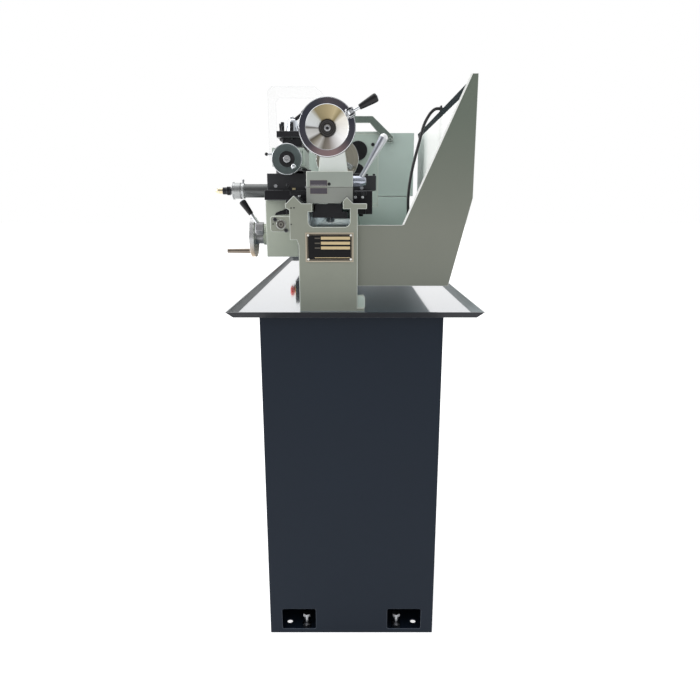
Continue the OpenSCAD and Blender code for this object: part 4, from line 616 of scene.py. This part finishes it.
# The dark disc at the centre of the faced end stands for the centre hole, and it and the ring round it are painted
# shade.
ring_dark = finish("screw_end_dark", (62, 60, 58), 0.4, 0.5, patch=6)
SCREW_END = (640.8, -156, 1017)
Shape().spun(SCREW_END, X, [(0, 7.6), (0.5, 7.4), (0.5, 5.4), (0, 5.2), (0, 7.6)], 0, sides=48).turned(
    SCREW_END, X, [(0, 2.6), (0.5, 2.4)], 0, sides=32).done("leadscrew_end_marks", "steel", (ring_dark,), "leadscrew")
rubber = finish("belt_rubber", (26, 26, 27), 0.62, relief=[(0.05, 1.0)], mottle=0.15, patch=14)
# The slightly paler eased edges are painted highlight.
rubber_edge = finish("belt_rubber_edge", (44, 44, 45), 0.6)
eased("drive_belt", (rubber, rubber_edge), 0.6)

# Motor and covers: a ribbed cast body painted black, inside a folded sheet cover painted like the headstock.
# The gear cover is a deep box of the same sheet and swings on two pins.
motor_black = finish("motor_black", (34, 35, 38), 0.45, relief=[(0.08, 3)], mottle=0.12, patch=40)
# The motor's and the sheet's paler edge finishes are painted highlight along the eased edges, partly wear.
motor_edge = finish("motor_black_edge", (66, 68, 72), 0.4, patch=12)
sheet_paint = finish("sheet_paint", (178, 194, 188), 0.36, relief=[(0.04, 2.6)], mottle=0.04, patch=160, coat=0.1)
sheet_edge = finish("sheet_paint_edge", (214, 222, 217), 0.3, mottle=0.06, patch=20, coat=0.1)
eased("motor", (motor_black, motor_edge), 0.8)
for node, ease in (("motor_cover", 0.7), ("gear_cover", 0.9), ("electric_box", 0.7)):
    eased(node, (sheet_paint, sheet_edge), ease)

# Switch box: a moulded black case under the headstock, with a yellow-ringed red stop, a green start button
# and a speed knob with a scale of plain lines round it.
case_black = finish("case_black", (30, 31, 33), 0.5, relief=[(0.05, 1.0)], patch=40)
# Each finish here has a paler twin for the eased edges: painted highlight.
case_edge = finish("case_black_edge", (56, 57, 60), 0.42, patch=12)
stop_red = finish("stop_red", (196, 26, 22), 0.3, relief=[(0.01, 1.4)], mottle=0.05, patch=20, coat=0.4)
stop_edge = finish("stop_red_edge", (222, 60, 50), 0.26, coat=0.4)
start_green = finish("start_green", (32, 140, 62), 0.3, relief=[(0.01, 1.2)], mottle=0.05, patch=10, coat=0.4)
start_edge = finish("start_green_edge", (80, 176, 100), 0.26, coat=0.4)
signal_yellow = finish("signal_yellow", (226, 178, 28), 0.4, mottle=0.05, patch=20, relief=[(0.02, 1.5)])
white_print = finish("white_print", (226, 226, 222), 0.5, mottle=0.04, patch=6)
SPEED_X, CASE_FRONT, SPEED_Z = -473, -218, 922.5
eased("control_box", (case_black, case_edge, signal_yellow, signal_yellow), 1.2,
    lambda at, out: at.y < CASE_FRONT - 0.5)
eased("emergency_stop", (stop_red, stop_edge), 1.2)
eased("start_button", (start_green, start_edge), 0.8)
eased("speed_knob", (case_black, case_edge), 0.9)
for side in (-1, 1):
    repeated("speed_scale_left" if side < 0 else "speed_scale_right", (-0.5, -0.3, 0), (0.5, 0.3, 4), 6, "frame",
        white_print, start=(SPEED_X, CASE_FRONT, SPEED_Z + 16.5), axis=Y,
        centre=(SPEED_X, 0, SPEED_Z), turn=side * radians(27), ease=0.1)

# Supply lead: 9 mm thick in a rubber jacket. It leaves the electric box through a gland, runs behind the bed,
# is clipped over the guard's top edge and ends in a small moulded box on the guard's back.
lead_black = finish("lead_black", (24, 24, 27), 0.42, relief=[(0.02, 1.2)], mottle=0.1, patch=12)
LEAD_POINTS = [(-316, 120, 960), (-300, 120, 960), (-280, 121, 957), (-262, 123, 945), (-248, 126, 925),
    (-232, 130, 905), (-212, 136, 892), (-185, 142, 887), (-150, 147, 886), (-100, 152, 886), (-50, 157, 886),
    (-5, 162, 887), (28, 167, 893), (52, 171, 912), (68, 174, 945), (76, 176, 985), (80, 176, 1036), (82, 175, 1072),
    (84, 178, 1117), (86, 188, 1176), (88, 206, 1248), (89, 217, 1290), (90, 231, 1317), (90, 241, 1329),
    (90, 250, 1335), (90, 260, 1336), (90, 270, 1335), (90, 278, 1328), (90, 281, 1316), (90, 281, 1296),
    (90, 281, 1262)]


def swept(points, radius, sides=16, steps=3):
    """A closed tube on a smooth path through the points, in millimetres."""
    at, path = [Vector(p) for p in points], []
    for k in range(len(at) - 1):
        p0, p1, p2, p3 = at[max(k - 1, 0)], at[k], at[k + 1], at[min(k + 2, len(at) - 1)]
        for t in (step / steps for step in range(steps)):
            path.append(0.5 * ((2 * p1) + (p2 - p0) * t + (2 * p0 - 5 * p1 + 4 * p2 - p3) * t * t
                + (3 * p1 - p0 - 3 * p2 + p3) * t ** 3))
    path.append(at[-1])
    rings, side = [], Vector((0, 0.2, 1))
    for k, here in enumerate(path):
        ahead = (path[min(k + 1, len(path) - 1)] - path[max(k - 1, 0)]).normalized()
        side = (side - ahead * side.dot(ahead)).normalized()
        up = ahead.cross(side)
        rings.append([here + (side * cos(tau * j / sides) + up * sin(tau * j / sides)) * radius
            for j in range(sides)])
    points = [p for ring in rings for p in ring]
    faces = [range(sides), range(len(points) - 1, len(points) - sides - 1, -1)]
    faces += [(k + j, k + (j + 1) % sides, k + sides + (j + 1) % sides, k + sides + j)
        for k in range(0, len(points) - sides, sides) for j in range(sides)]
    return Shape().add(points, faces)


swept(LEAD_POINTS, 4.5).done("supply_lead", "belt_rubber", (lead_black,))
eased("lead_fittings", (case_black, case_edge), 1.0)

# Chuck guard: a bent and painted square bar on a blackened pivot in the motor cover, and a clear sheet of
# polycarbonate, hot-bent over the chuck and screwed under the bar.
arm_paint = finish("guard_arm_paint", (98, 110, 103), 0.36, relief=[(0.04, 2.6)], mottle=0.04, gloss=0.3)
PIVOT_FACE = -303
eased("chuck_guard_arm", (arm_paint, sheet_edge, *blackened), 0.9, lambda at, out: at.x < PIVOT_FACE)


def clear_sheet(name, alpha, colour):
    g, place = begin(name)
    haze = g.grain(place, 30, detail=4.0).over(0.5, 0.8)
    return g.surface(Base_Color=tone(colour), Roughness=haze * 0.06 + 0.05, Alpha=haze * alpha * 0.4 + alpha * 0.8,
        IOR=1.3, Normal=g.bump(0.02, g.grain(place, 18)))


clear_face = clear_sheet("clear_sheet_face", 0.045, (236, 242, 242))
clear_rim = clear_sheet("clear_sheet_rim", 0.12, (190, 200, 198))
eased("chuck_guard_shield", (clear_face, clear_rim, clear_rim, clear_rim), 0.4,
    lambda at, out: 1 if abs(out.x) > 0.9 else 0, rounds=1)

# Carriage: the saddle is cast iron, blackened and oiled, and scraped bright under its wings. Two retainers
# hold it down. The apron below is a painted casting, and the half nuts behind it are bronze.
saddle_black = finish("saddle_black", (26, 25, 30), 0.36, 0.1, mottle=0.12, patch=40, relief=[(0.03, 1.8)], gloss=0.25)
# The grey eased edges of the blackened iron are painted highlight, partly wear.
saddle_edge = finish("saddle_black_edge", (92, 93, 96), 0.28, 0.5, mottle=0.2, patch=10)
FEED, DIAL_Y = (390, 0, 1093.5), -275
housing_steel = ringed("housing_steel", (100, 102, 102), 0.42, FEED, along=1, pitch=0.9, depth=0.01)
HOUSING_Y, WING_Z = -210.4, 1078
eased("saddle", (saddle_black, saddle_edge, ground_iron, ground_edge, housing_steel, bright_edge), 0.9,
    lambda at, out: 2 if at.y < HOUSING_Y else 1 if out.z < -0.3 and at.z < WING_Z else 0)
eased("saddle_retainers", blackened, 0.5)
wipers = Shape()
for y, z in ((9.2, 1076.7), (26.5, 1076.7), (-125.5, 1080)):
    wipers.turned((499.6, y, z), X, [(0, 4), (1.4, 3.8), (2, 2.8), (2, 1.2), (1, 1)], 0, 0.3, sides=32)
wipers.done("wiper_screws", "steel", (zinc_edge,), "carriage")
apron_paint = casting("apron_paint", (188, 195, 181))
eased("apron", (apron_paint, cast_edge), 1.5)
pad = Shape().prism([(-191, 1033.5), (-187, 1040), (-164, 1048.6), (-155, 1048.6), (-155, 1036)], 464.5,
    466.6, 0, 0.5, 1)
pad.done("apron_swarf_plate", "black_iron", (saddle_black, saddle_edge), "carriage")
bronze = finish("bronze", (176, 138, 74), 0.32, 1, mottle=0.12, patch=10, relief=[(0.01, 0.6, (1, 10, 1))])
# The paler eased edges of the bronze are painted highlight.
bronze_edge = finish("bronze_edge", (214, 180, 116), 0.24, 1, patch=8)
for side in ("upper", "lower"):
    eased(f"half_nut_{side}", (bronze, bronze_edge), 0.4)
eased("rack_pinion", (gear_steel, bright_edge), 0.25)

# Feed lever: a machined hexagon hub on a ground shaft, a chromed stem screwed into it and a moulded grip
# with a pale end cap.
chrome = finish("chrome", (214, 217, 221), 0.09, 1, mottle=0.03, patch=30, spread=0.03)
satin_chrome = finish("satin_chrome", (196, 199, 203), 0.24, 1, mottle=0.05, patch=20, relief=[(0.01, 0.6)])
grip_black = finish("grip_black", (20, 20, 23), 0.34, relief=[(0.01, 1.0)], patch=14, gloss=0.35)
cap_white = finish("cap_white", (206, 222, 238), 0.3, mottle=0.04, patch=6, coat=0.3)


def along(start, heading, distance):
    return Vector(start) + Vector(heading).normalized() * distance


def line(point, axis):
    """The points of a line through this point along X (0), Y (1) or Z (2), by their place on that axis."""
    return lambda at: Vector([at if k == axis else c for k, c in enumerate(point)])


at = line((442, 0, 1000), 1)
foot, way = at(-228), (-8, -52, 73)
hub_grey = finish("lever_hub", (158, 158, 160), 0.34, 0.6, mottle=0.1, patch=12, relief=[(0.02, 1.0)])
lever = Shape()
lever.rod(at(-225), at(-182), 7)
lever.rod(at(-196.7), at(-182), 11)
across, third = round_axis(-Y)[1:]
flats = [(across * cos(k * tau / 6) + third * sin(k * tau / 6)) * 17 for k in range(6)]
lever.between(*([at(y) + corner for corner in flats] for y in (-222, -240)), 1, 1.7)
lever.turned(at(-240), -Y, [(0, 15.5), (3, 11.5)], 0, 0.3, 2)
lever.rod(along(foot, way, 6), along(foot, way, 12), 7.5, 6)
lever.rod(foot, along(foot, way, 46), 5, 4, paint=2)
lever.turned(along(foot, way, 43.5), way, [(0, 5.4), (3, 6.4), (20, 7.6), (34, 8.8), (38.5, 8.6), (40.2, 6.6),
    (40.5, 0)], 3, 1.0)
lever.turned(along(foot, way, 83), way, [(0, 5.6), (1.3, 5.4), (1.8, 3.5), (2, 0)], 4)
lever.done("feed_lever", "chrome", (zinc, hub_grey, chrome, grip_black, cap_white))

# Apron handwheel: a turned and chromed disc with a thick rim on a grey hub, and a revolving crank grip
# of turned aluminium. Its pinion behind the apron is cut on the same shaft.
# The chrome turns golden towards the bottom of the wheel: painted reflection.
wheel_chrome = finish("wheel_chrome", (186, 187, 188), 0.24, 0.5, patch=30, relief=[(0.01, 0.8, (1, 20, 1))],
    fade=(2, 962, 920, (188, 160, 120)))
grip_turned = finish("turned_grip", (128, 118, 108), 0.34, 1, mottle=0.1, patch=8, relief=[(0.02, 0.6, (20, 1, 20))])
CRANK_Y, HUB_Y, PINION_Y = -274.5, -255, -192
eased("apron_handwheel",
    (wheel_chrome, bright_edge, hub_grey, bright_edge, grip_turned, bright_edge, gear_steel, bright_edge), 0.6,
    lambda at, out: 2 if at.y < CRANK_Y else 3 if at.y > PINION_Y else 1 if at.y > HUB_Y else 0)

# Cross slide: a blackened iron block with a dovetail below and a gib, held by set screws. The rear end is
# milled down for its clamp blocks.
cross_black = finish("cross_slide_black", (46, 47, 51), 0.34, 0.2, mottle=0.14, patch=30, relief=[(0.03, 1.8)])
eased("cross_slide", (cross_black, saddle_edge), 0.9)
gold_tag = finish("gib_brass", (214, 200, 158), 0.3, 0.8, patch=6)
gib = Shape()
for y, z, head in ((25.6, 1099.7, 4.4), (-189.6, 1104.3, 4.4), (-112.9, 1101.6, 3.6)):
    gib.turned((439.7, y, z), X, [(0, head), (1.2, head - 0.2), (1.2, head - 1.5), (0.5, head - 1.7)], 0, sides=32)
gib.block((439.7, -148.2, 1094.6), (440.9, -139.8, 1099.8), 1, 0.3)
for y in (38.5, 56):
    gib.turned((430, y, 1129.3), Z, [(0, 3.2), (4.4, 3.2), (4.7, 2.6)], 2, sides=28)
gib.done("cross_slide_screws", "steel", (zinc, gold_tag, black_oxide), "cross_slide")

# Cross feed screw: its dial is a satin-chromed drum with fine engraved lines between two bright rims, locked
# by a small screw. A blackened knurled nut and a brass-tinted dome close the shaft.
dial_satin = ringed("dial_satin", (158, 160, 160), 0.36, FEED, along=1, pitch=0.7, depth=0.01)
brass_dome = finish("brass_dome", (212, 200, 170), 0.22, 1, mottle=0.05, patch=6)
screw = Shape()
at = line(FEED, 1)
screw.rod(at(DIAL_Y - 60), at(46.5), 6)
screw.turned(at(DIAL_Y - 0.3), -Y, [(0, 18.6), (1, 20), (4, 20), (4.2, 19.4), (5.4, 19.4), (5.6, 20), (26.6, 20),
    (26.8, 22), (30.4, 22), (30.8, 20)], 0, 0.45, 1)
screw.turned(at(DIAL_Y - 30), -Y, [(0, 8), (7, 8), (7, 10.4), (16, 10.4), (16, 9), (27, 9)], 2, 0.5, 3)
screw.turned(at(DIAL_Y - 57), -Y, [(0, 7), (11, 7), (15, 5.6), (18, 3.4), (19.6, 1.4), (20, 0)], 4, 0.4, 1)
screw.rod(at(DIAL_Y - 4) + Z * 19, at(DIAL_Y - 4) + Z * 24, 2.2, paint=5)
screw.turned(at(DIAL_Y - 4) + Z * 23, Z, [(0, 3), (4.6, 3), (5.9, 2.2), (6, 0)], 5, 0.3, 1)
screw.done("cross_feed_screw", "steel", (dial_satin, bright_edge, *blackened, brass_dome, zinc))
line_black = finish("line_black", (24, 24, 26), 0.5, patch=6)
repeated("cross_dial_lines", (-0.22, -1.9, 0), (0.22, 1.9, 0.12), 80, "cross_feed_screw", line_black,
    start=(390, DIAL_Y - 9.5, 1113.5), axis=Y, centre=FEED, turn=tau / 80)
repeated("cross_nut_knurl", (-0.32, -4, 0), (0.32, 4, 0.7), 44, "cross_feed_screw", black_oxide,
    start=(390, DIAL_Y - 41.5, 1103.6), axis=Y, centre=FEED, turn=tau / 44)

# Compound: a blackened swivelling base with a ground dovetail, and on it the top slide, painted like the
# castings. A thumb screw with a black ball locks the slide from the front.
DOVETAIL_Z = 1145.9
eased("compound_base", (saddle_black, saddle_edge, ground_iron, ground_edge), 0.6,
    lambda at, out: at.z > DOVETAIL_Z)
slide_paint = finish("slide_paint", (176, 188, 180), 0.36, relief=[(0.05, 3)], mottle=0.05, coat=0.15)
KNOB_Y, STEM_Y, RIM_Z = -197.5, -185.2, 1188
eased("compound_slide", (slide_paint, cast_edge, grip_black, grip_black, zinc, zinc_edge), 0.7,
    lambda at, out: 1 if at.y < KNOB_Y else 2 if at.y < STEM_Y or at.z > RIM_Z else 0)
Shape().turned((529.6, -117, 1177.9), X, [(0, 3.6), (1, 3.4), (1, 1.7), (0.4, 1.5)], 0, sides=28).done(
    "compound_end_screw", "black_iron", (black_oxide,), "compound_slide")

# Compound handwheel: a turned grey disc with a brighter rim and a dished face, a graduated collar behind it,
# a black ring and a grey screw in the middle, and a bright ball for a handle.
TOP_LINE, WHEEL_X = (0, -148, 1160.7), 538.3
disc_steel = finish("disc_grey", (84, 94, 94), 0.36, 0.3, mottle=0.12, patch=16, relief=[(0.02, 1.0)], gloss=0.3)
rim_steel = ringed("rim_steel", (168, 171, 174), 0.24, TOP_LINE, pitch=0.6, depth=0.01)
wheel = Shape()
at = line(TOP_LINE, 0)
wheel.rod(at(368), at(WHEEL_X + 6), 5)
wheel.turned(at(WHEEL_X), X, [(0, 21), (7.5, 21)], 1, 0.5, 2)
wheel.turned(at(WHEEL_X + 7), X, [(0, 33.8), (1.4, 34.9), (9.6, 34.9), (10.6, 33.8), (10.6, 32), (9.6, 31), (9.4, 19),
    (10.6, 18.4)], 0, 0.5)
wheel.spun(at(WHEEL_X + 7.05), X, [(1.2, 35), (9.8, 35), (10.9, 34), (10.9, 33.2), (9, 33), (1.4, 33.4),
    (1.2, 35)], 1, 0.3, 2)
wheel.turned(at(WHEEL_X + 17), X, [(0, 18), (1.3, 17.4), (1.3, 9.6), (0.9, 9)], 3, 0.4, 4)
wheel.turned(at(WHEEL_X + 17), X, [(0, 8.4), (3.6, 8.2), (4.6, 6.8), (4.6, 2.6), (2.6, 2.3)], 5, 0.3, 2)
wheel.rod((WHEEL_X + 14, -132, 1143.7), (WHEEL_X + 26, -132, 1143.7), 3, paint=2)
wheel.ball((WHEEL_X + 29, -132, 1143.7), 6.5, 2)
wheel.done("compound_handwheel", "steel", (disc_steel, rim_steel, satin_chrome, grip_black, grip_black, hub_grey))
repeated("compound_dial_lines", (-2.2, -0.2, 0), (2.2, 0.2, 0.1), 50, "compound_handwheel", line_black,
    start=(WHEEL_X + 3, -148, 1181.65), axis=X, centre=TOP_LINE, turn=tau / 50)

# Tool post: a square hardened block, black oxide over ground faces, with a slot on each side and eight
# square-headed screws, two to a side.
post_black = finish("post_black", (42, 42, 46), 0.3, 0.5, mottle=0.14, patch=16, relief=[(0.012, 0.7, (14, 14, 1))])
# The grey eased edges are painted highlight, partly wear.
post_edge = finish("post_black_edge", (128, 130, 134), 0.26, 0.8, mottle=0.2, patch=6)
eased("tool_post", (post_black, post_edge), 0.7)
eased("tool_post_screws", blackened, 0.5)

# Tool post clamp: a conical hub polished almost like a mirror, a chromed ball on top and a short dark rod
# with a turned black knob.
POST_LINE, HUB_Z = (390, -148, 0), 1236.2
polished = ringed("polished_cone", (222, 228, 236), 0.12, POST_LINE, along=2, pitch=0.8, depth=0.008)
clamp = Shape()
at = line(POST_LINE, 2)
clamp.spun(at(HUB_Z), Z, [(0, 9.2), (0, 17), (1.6, 17), (24, 12.6), (28, 11.6), (31, 9), (31, 0)], 0, 0.6, 1)
clamp.spun(at(HUB_Z), Z, [(0, 9.05), (21.4, 9.05), (21.4, 0)], 2)
clamp.ball((390, -151, HUB_Z + 33), 7, 1)
foot, way = (390, -146, HUB_Z + 27), (4, 46, 36)
clamp.rod(foot, along(foot, way, 30), 4.8, 3.5, paint=2)
clamp.turned(along(foot, way, 28), way, [(0, 4.6), (2, 5.4), (14, 6.6), (25, 8), (30, 7.4), (32, 4.8),
    (32.4, 0)], 3, 0.8)
clamp.done("tool_post_lever", "chrome", (polished, chrome, black_oxide, grip_black))

# Tailstock: a painted casting in two parts on the ways, with a tapering neck up to the barrel. Dark scale
# strips sit either side of the split line, and the quill is ground. The neck is painted near-white, far paler
# than the body, as painted highlight.
TAIL_SKIN = [(0.07, 6), (0.03, 1.6)]
tail_paint = finish("tail_paint", (162, 170, 162), 0.36, relief=TAIL_SKIN, mottle=0.05, patch=70, gloss=0.35)
neck_highlight = finish("tail_neck_highlight", (246, 251, 248), 0.36, relief=TAIL_SKIN, mottle=0.04, patch=70,
    fade=(2, 1190, 1140, (238, 244, 240)))
base_paint = finish("tail_base_paint", (146, 150, 144), 0.38, relief=TAIL_SKIN, mottle=0.06, coat=0.1)
eased("tailstock_base", (base_paint, base_paint), 0.6)
Shape().block((604.4, -100.4, 1097.2), (605.15, 2.4, 1098.0), 0, 0).done(
    "tailstock_parting_line", "green_paint", (finish("seam_shadow", (62, 66, 62), 0.6, patch=8),), "tailstock")
NECK_Z, CLAMP_X, CLAMP_Y, BOLT_RADIUS = 1132, 540, -50, 11.6
eased("tailstock_body", (tail_paint, cast_edge, neck_highlight, cast_edge), 1.4,
    lambda at, out: at.z > NECK_Z)
eased("tailstock_clamp_plate", (*blackened, zinc, zinc_edge), 0.5,
    lambda at, out: hypot(at.x - CLAMP_X, at.y - CLAMP_Y) < BOLT_RADIUS and abs(out.z) < 0.5)
quill_steel = ringed("quill_steel", (176, 178, 180), 0.18, SPINDLE_LINE, pitch=0.9, depth=0.01)
eased("quill", (quill_steel, bright_edge), 0.5)
scale_dark = finish("scale_dark", (82, 78, 86), 0.4, 0.4, mottle=0.12, patch=8)
scale_rim = finish("scale_rim", (176, 174, 164), 0.32, 0.8, patch=6)
strips = Shape()
for low, high in ((1082, 1096.2), (1098.7, 1113)):
    strips.block((604.8, -93.3, low), (605.7, -53.5, high), 1, 0.25, 1)
    strips.block((605.6, -92.5, low + 0.8), (605.85, -54.3, high - 0.8), 0, 0)
strips.turned((604.9, -50, 1104), X, [(0, 3.6), (0.5, 3.6)], 2, 0.2)
strips.done("tail_scale", "green_paint", (scale_dark, scale_rim, black_oxide), "tailstock")
repeated("tail_scale_lines", (0, -0.18, 0), (0.12, 0.18, 3.2), 17, "tailstock", white_print,
    start=(605.82, -90.4, 1099.6), step=(0, 2.1, 0))


# Tailstock handwheel: a turned iron wheel. Its rim lies dark between two bright bevels, and the rim and the cone
# inside it are painted with bands of light and dark round the axis: painted reflection. The hub is dark steel round a
# grey screw.
def reflection_bands(name, centre, clock, roughness, metallic, streak=0.12):
    """Turned metal painted with bands of light and dark round an axis along X: painted reflection. The clock lists
    (hour from 0 to 12, colour) and ends at 12 with its first colour."""
    g, place = begin(name)
    from_axis = g.vector("SUBTRACT", place, [c / 1000 for c in centre])
    turn = (g.axis(from_axis, 1).math("ARCTAN2", g.axis(from_axis, 2)) / tau + 1).math("FRACT")
    path = g.node("CombineXYZ", {0: turn.math("PINGPONG", 0.5) * 260})
    fine = g.noise(path) * streak + (1 - streak / 2)
    band = g.node("ValToRGB", {"Fac": turn},
        stops=[(at / 12, tone(shade)) for at, shade in clock + [(12, clock[0][1])]])
    rings = g.node("CombineXYZ", {0: g.vector("LENGTH", from_axis, out="Value") * 1400})
    return g.surface(Base_Color=g.node("VectorMath", {0: band, "Scale": fine}, operation="SCALE"), Metallic=metallic,
        Roughness=fine * 0.1 + (roughness - 0.1), Specular_IOR_Level=0.3, Normal=g.bump(0.01, g.noise(rings)))


rim_reflection = reflection_bands("rim_painted_reflection", SPINDLE_LINE, [(0, (76, 70, 76)), (2.5, (50, 52, 64)), (4, (62, 60, 68)),
    (5.4, (134, 112, 112)), (6.6, (126, 106, 108)), (7.6, (60, 58, 66)), (10, (42, 46, 58)), (11.2, (52, 54, 64))],
    0.5, 0.0, 0.16)
cone_reflection = reflection_bands("cone_painted_reflection", SPINDLE_LINE, [(0, (176, 160, 122)), (0.9, (200, 184, 144)),
    (1.4, (150, 136, 98)), (2, (246, 242, 232)), (4.2, (255, 255, 255)), (5.1, (206, 204, 204)), (5.8, (138, 130, 122)),
    (6.4, (112, 106, 96)), (6.9, (196, 194, 190)), (7.4, (150, 144, 130)), (7.8, (92, 86, 74)), (8.1, (222, 222, 220)),
    (8.8, (206, 206, 204)), (9, (96, 92, 88)), (9.2, (226, 230, 232)), (10.3, (216, 220, 218)),
    (10.8, (148, 136, 102))], 0.36, 0.1, 0.42)
hub_dark = ringed("hub_dark", (86, 84, 82), 0.28, SPINDLE_LINE, pitch=0.8, depth=0.012, mottle=0.3)
wheel = Shape()
at = line(SPINDLE_LINE, 0)
wheel.rod(at(536), at(650), 8, paint=2)
wheel.turned(at(648.3), X, [(0, 17), (1, 18), (19.7, 18), (19.7, 20), (24, 24), (33, 42.4), (43.5, 44.4),
    (42.4, 43.5), (26.4, 18.2), (24.6, 17.4)], 1, 0.5, sides=128)
wheel.spun(at(680.9), X, [(0, 42), (0, 56.4), (2.6, 59), (9.6, 59), (11.1, 57.6), (11.1, 44.6), (9.9, 43.6), (0, 42)],
    0, 0.6, 3, sides=128)
wheel.turned(at(672.6), X, [(0, 17.4), (3.4, 17.4), (4.4, 16.4), (4.4, 12.6), (3.5, 12), (3.5, 9.8), (4.3, 9.2)], 2,
    0.35, 4, sides=96)
wheel.turned(at(676.6), X, [(0, 7.2), (2.2, 6.8), (3.3, 5.6), (3.3, 3.6), (1.8, 3.4)], 5, 0.25, 3)
wheel.turned(at(678.2), X, [(0, 3.2), (0.6, 3)], 4)
# The crank folds on a pin in a forked stud near the rim: chromed stud and stem, black grip, chromed end
OUT, PIN = Vector((0, 0.8758, 0.4826)), Vector((0, -0.4826, 0.8758))
PIVOT = Vector((704, -2.705, 1240.060))
CHEEK = [(-15, -9.6), (-15, 9.6), (4.5, 9.6), (8.3, 5), (9, 0), (8.3, -5), (4.5, -9.6)]
WEDGE = [(-6, 4.2), (6, 4.2), (4, 7.6), (-4, 7.6)]
for side in (-1, 1):
    wheel.between(*([PIVOT + X * a + OUT * b * narrow + PIN * side * level for a, b in CHEEK]
        for level, narrow in ((3.75, 1), (8.6, 0.86))), 5, 0.9, 3)
wheel.turned(PIVOT - X * 15.5, X, [(0, 10), (6, 10)], 3, 0.6, 3)
for side in (-1, 1):
    wheel.between(*([PIVOT + X * x + OUT * a + PIN * side * b for a, b in WEDGE] for x in (8.6, 9.3)), 4, 0)
wheel.rod(PIVOT - PIN * 9.6, PIVOT + PIN * 9.6, 2.6, paint=2, edge=3)
wheel.done("tailstock_handwheel", "steel", (rim_reflection, cone_reflection, hub_dark, chrome, black_oxide, hub_grey))
crank = Shape()
crank.spun(PIVOT - PIN * 3.5, PIN, [(0, 2.7), (0, 5.5), (7, 5.5), (7, 2.7), (0, 2.7)], 0, 0.4)
crank.rod(PIVOT + OUT * 4.6, PIVOT + OUT * 22.5, 3)
crank.turned(PIVOT + OUT * 21, OUT, [(0, 4.8), (1, 5.4), (10, 6.6), (30, 8.6), (37, 9), (39.6, 8.2),
    (40.4, 6.8)], 1, 0.8)
crank.turned(PIVOT + OUT * 61, OUT, [(0, 6.4), (1, 6.2), (1.8, 4.4), (2, 0)], 0, 0.3)
crank.done("tailstock_handle", "chrome", (chrome, grip_black))

# Quill lock and clamp lever: satin chromed steel. The clamp lever widens towards its round end and stands on
# a conical hub at the rear of the body; its shine is painted reflection, in bands of colour round a line along X
# through its foot.
lock = Shape()
at = line((505, -50, 0), 2)
lock.rod(at(1233), at(1253), 5)
lock.turned(at(1252.3), Z, [(0, 8.6), (1, 9), (8, 9), (10, 7.4)], 0, 0.5)
lock.rod(at(1257.3), (501, -98, 1264.3), 4, 3)
lock.ball((501, -100, 1264.3), 6, 1)
lock.done("quill_lock_lever", "steel", (satin_chrome, grip_black))
handle = Shape()
at = line((CLAMP_X, 0, 1112), 1)
handle.rod(at(-90), at(7), 8.7, paint=1)
handle.turned(at(3.4), Y, [(0, 12.4), (14, 12.4), (24, 11), (29.4, 8.6), (30.7, 6)], 1, 0.6)
foot, way, length = at(17), (0, 56.5, 96), hypot(56.5, 96)
handle.spun(foot, way, [(0, 0), (0, 5.6), (length * 0.42, 5.6), (length * 0.5, 6.4), (length - 6, 9.8),
    (length, 10.1)], 0, sides=56)
handle.spun(foot, way, [(length - 0.2, 10.1), (length + 5, 8.8), (length + 8.8, 5.1), (length + 10.1, 0)], 2, sides=56)
# The lever's colour runs in bands with a dark streak and a pale one: painted reflection.
lever_reflection = reflection_bands("lever_painted_reflection", foot, [(0, (190, 193, 202)), (0.9, (168, 172, 182)), (1.0, (104, 106, 118)),
    (1.04, (208, 210, 218)), (1.12, (228, 230, 234)), (2, (180, 184, 192))], 0.34, 0.35, 0.05)
hub_blue = finish("clamp_hub", (176, 182, 194), 0.24, 0.9, mottle=0.1, patch=14, relief=[(0.01, 0.8)])
ball_white = finish("lever_end", (238, 239, 242), 0.24, 0.2, mottle=0.03, patch=12)
handle.done("tailstock_clamp_lever", "chrome", (lever_reflection, hub_blue, ball_white), angle=50)
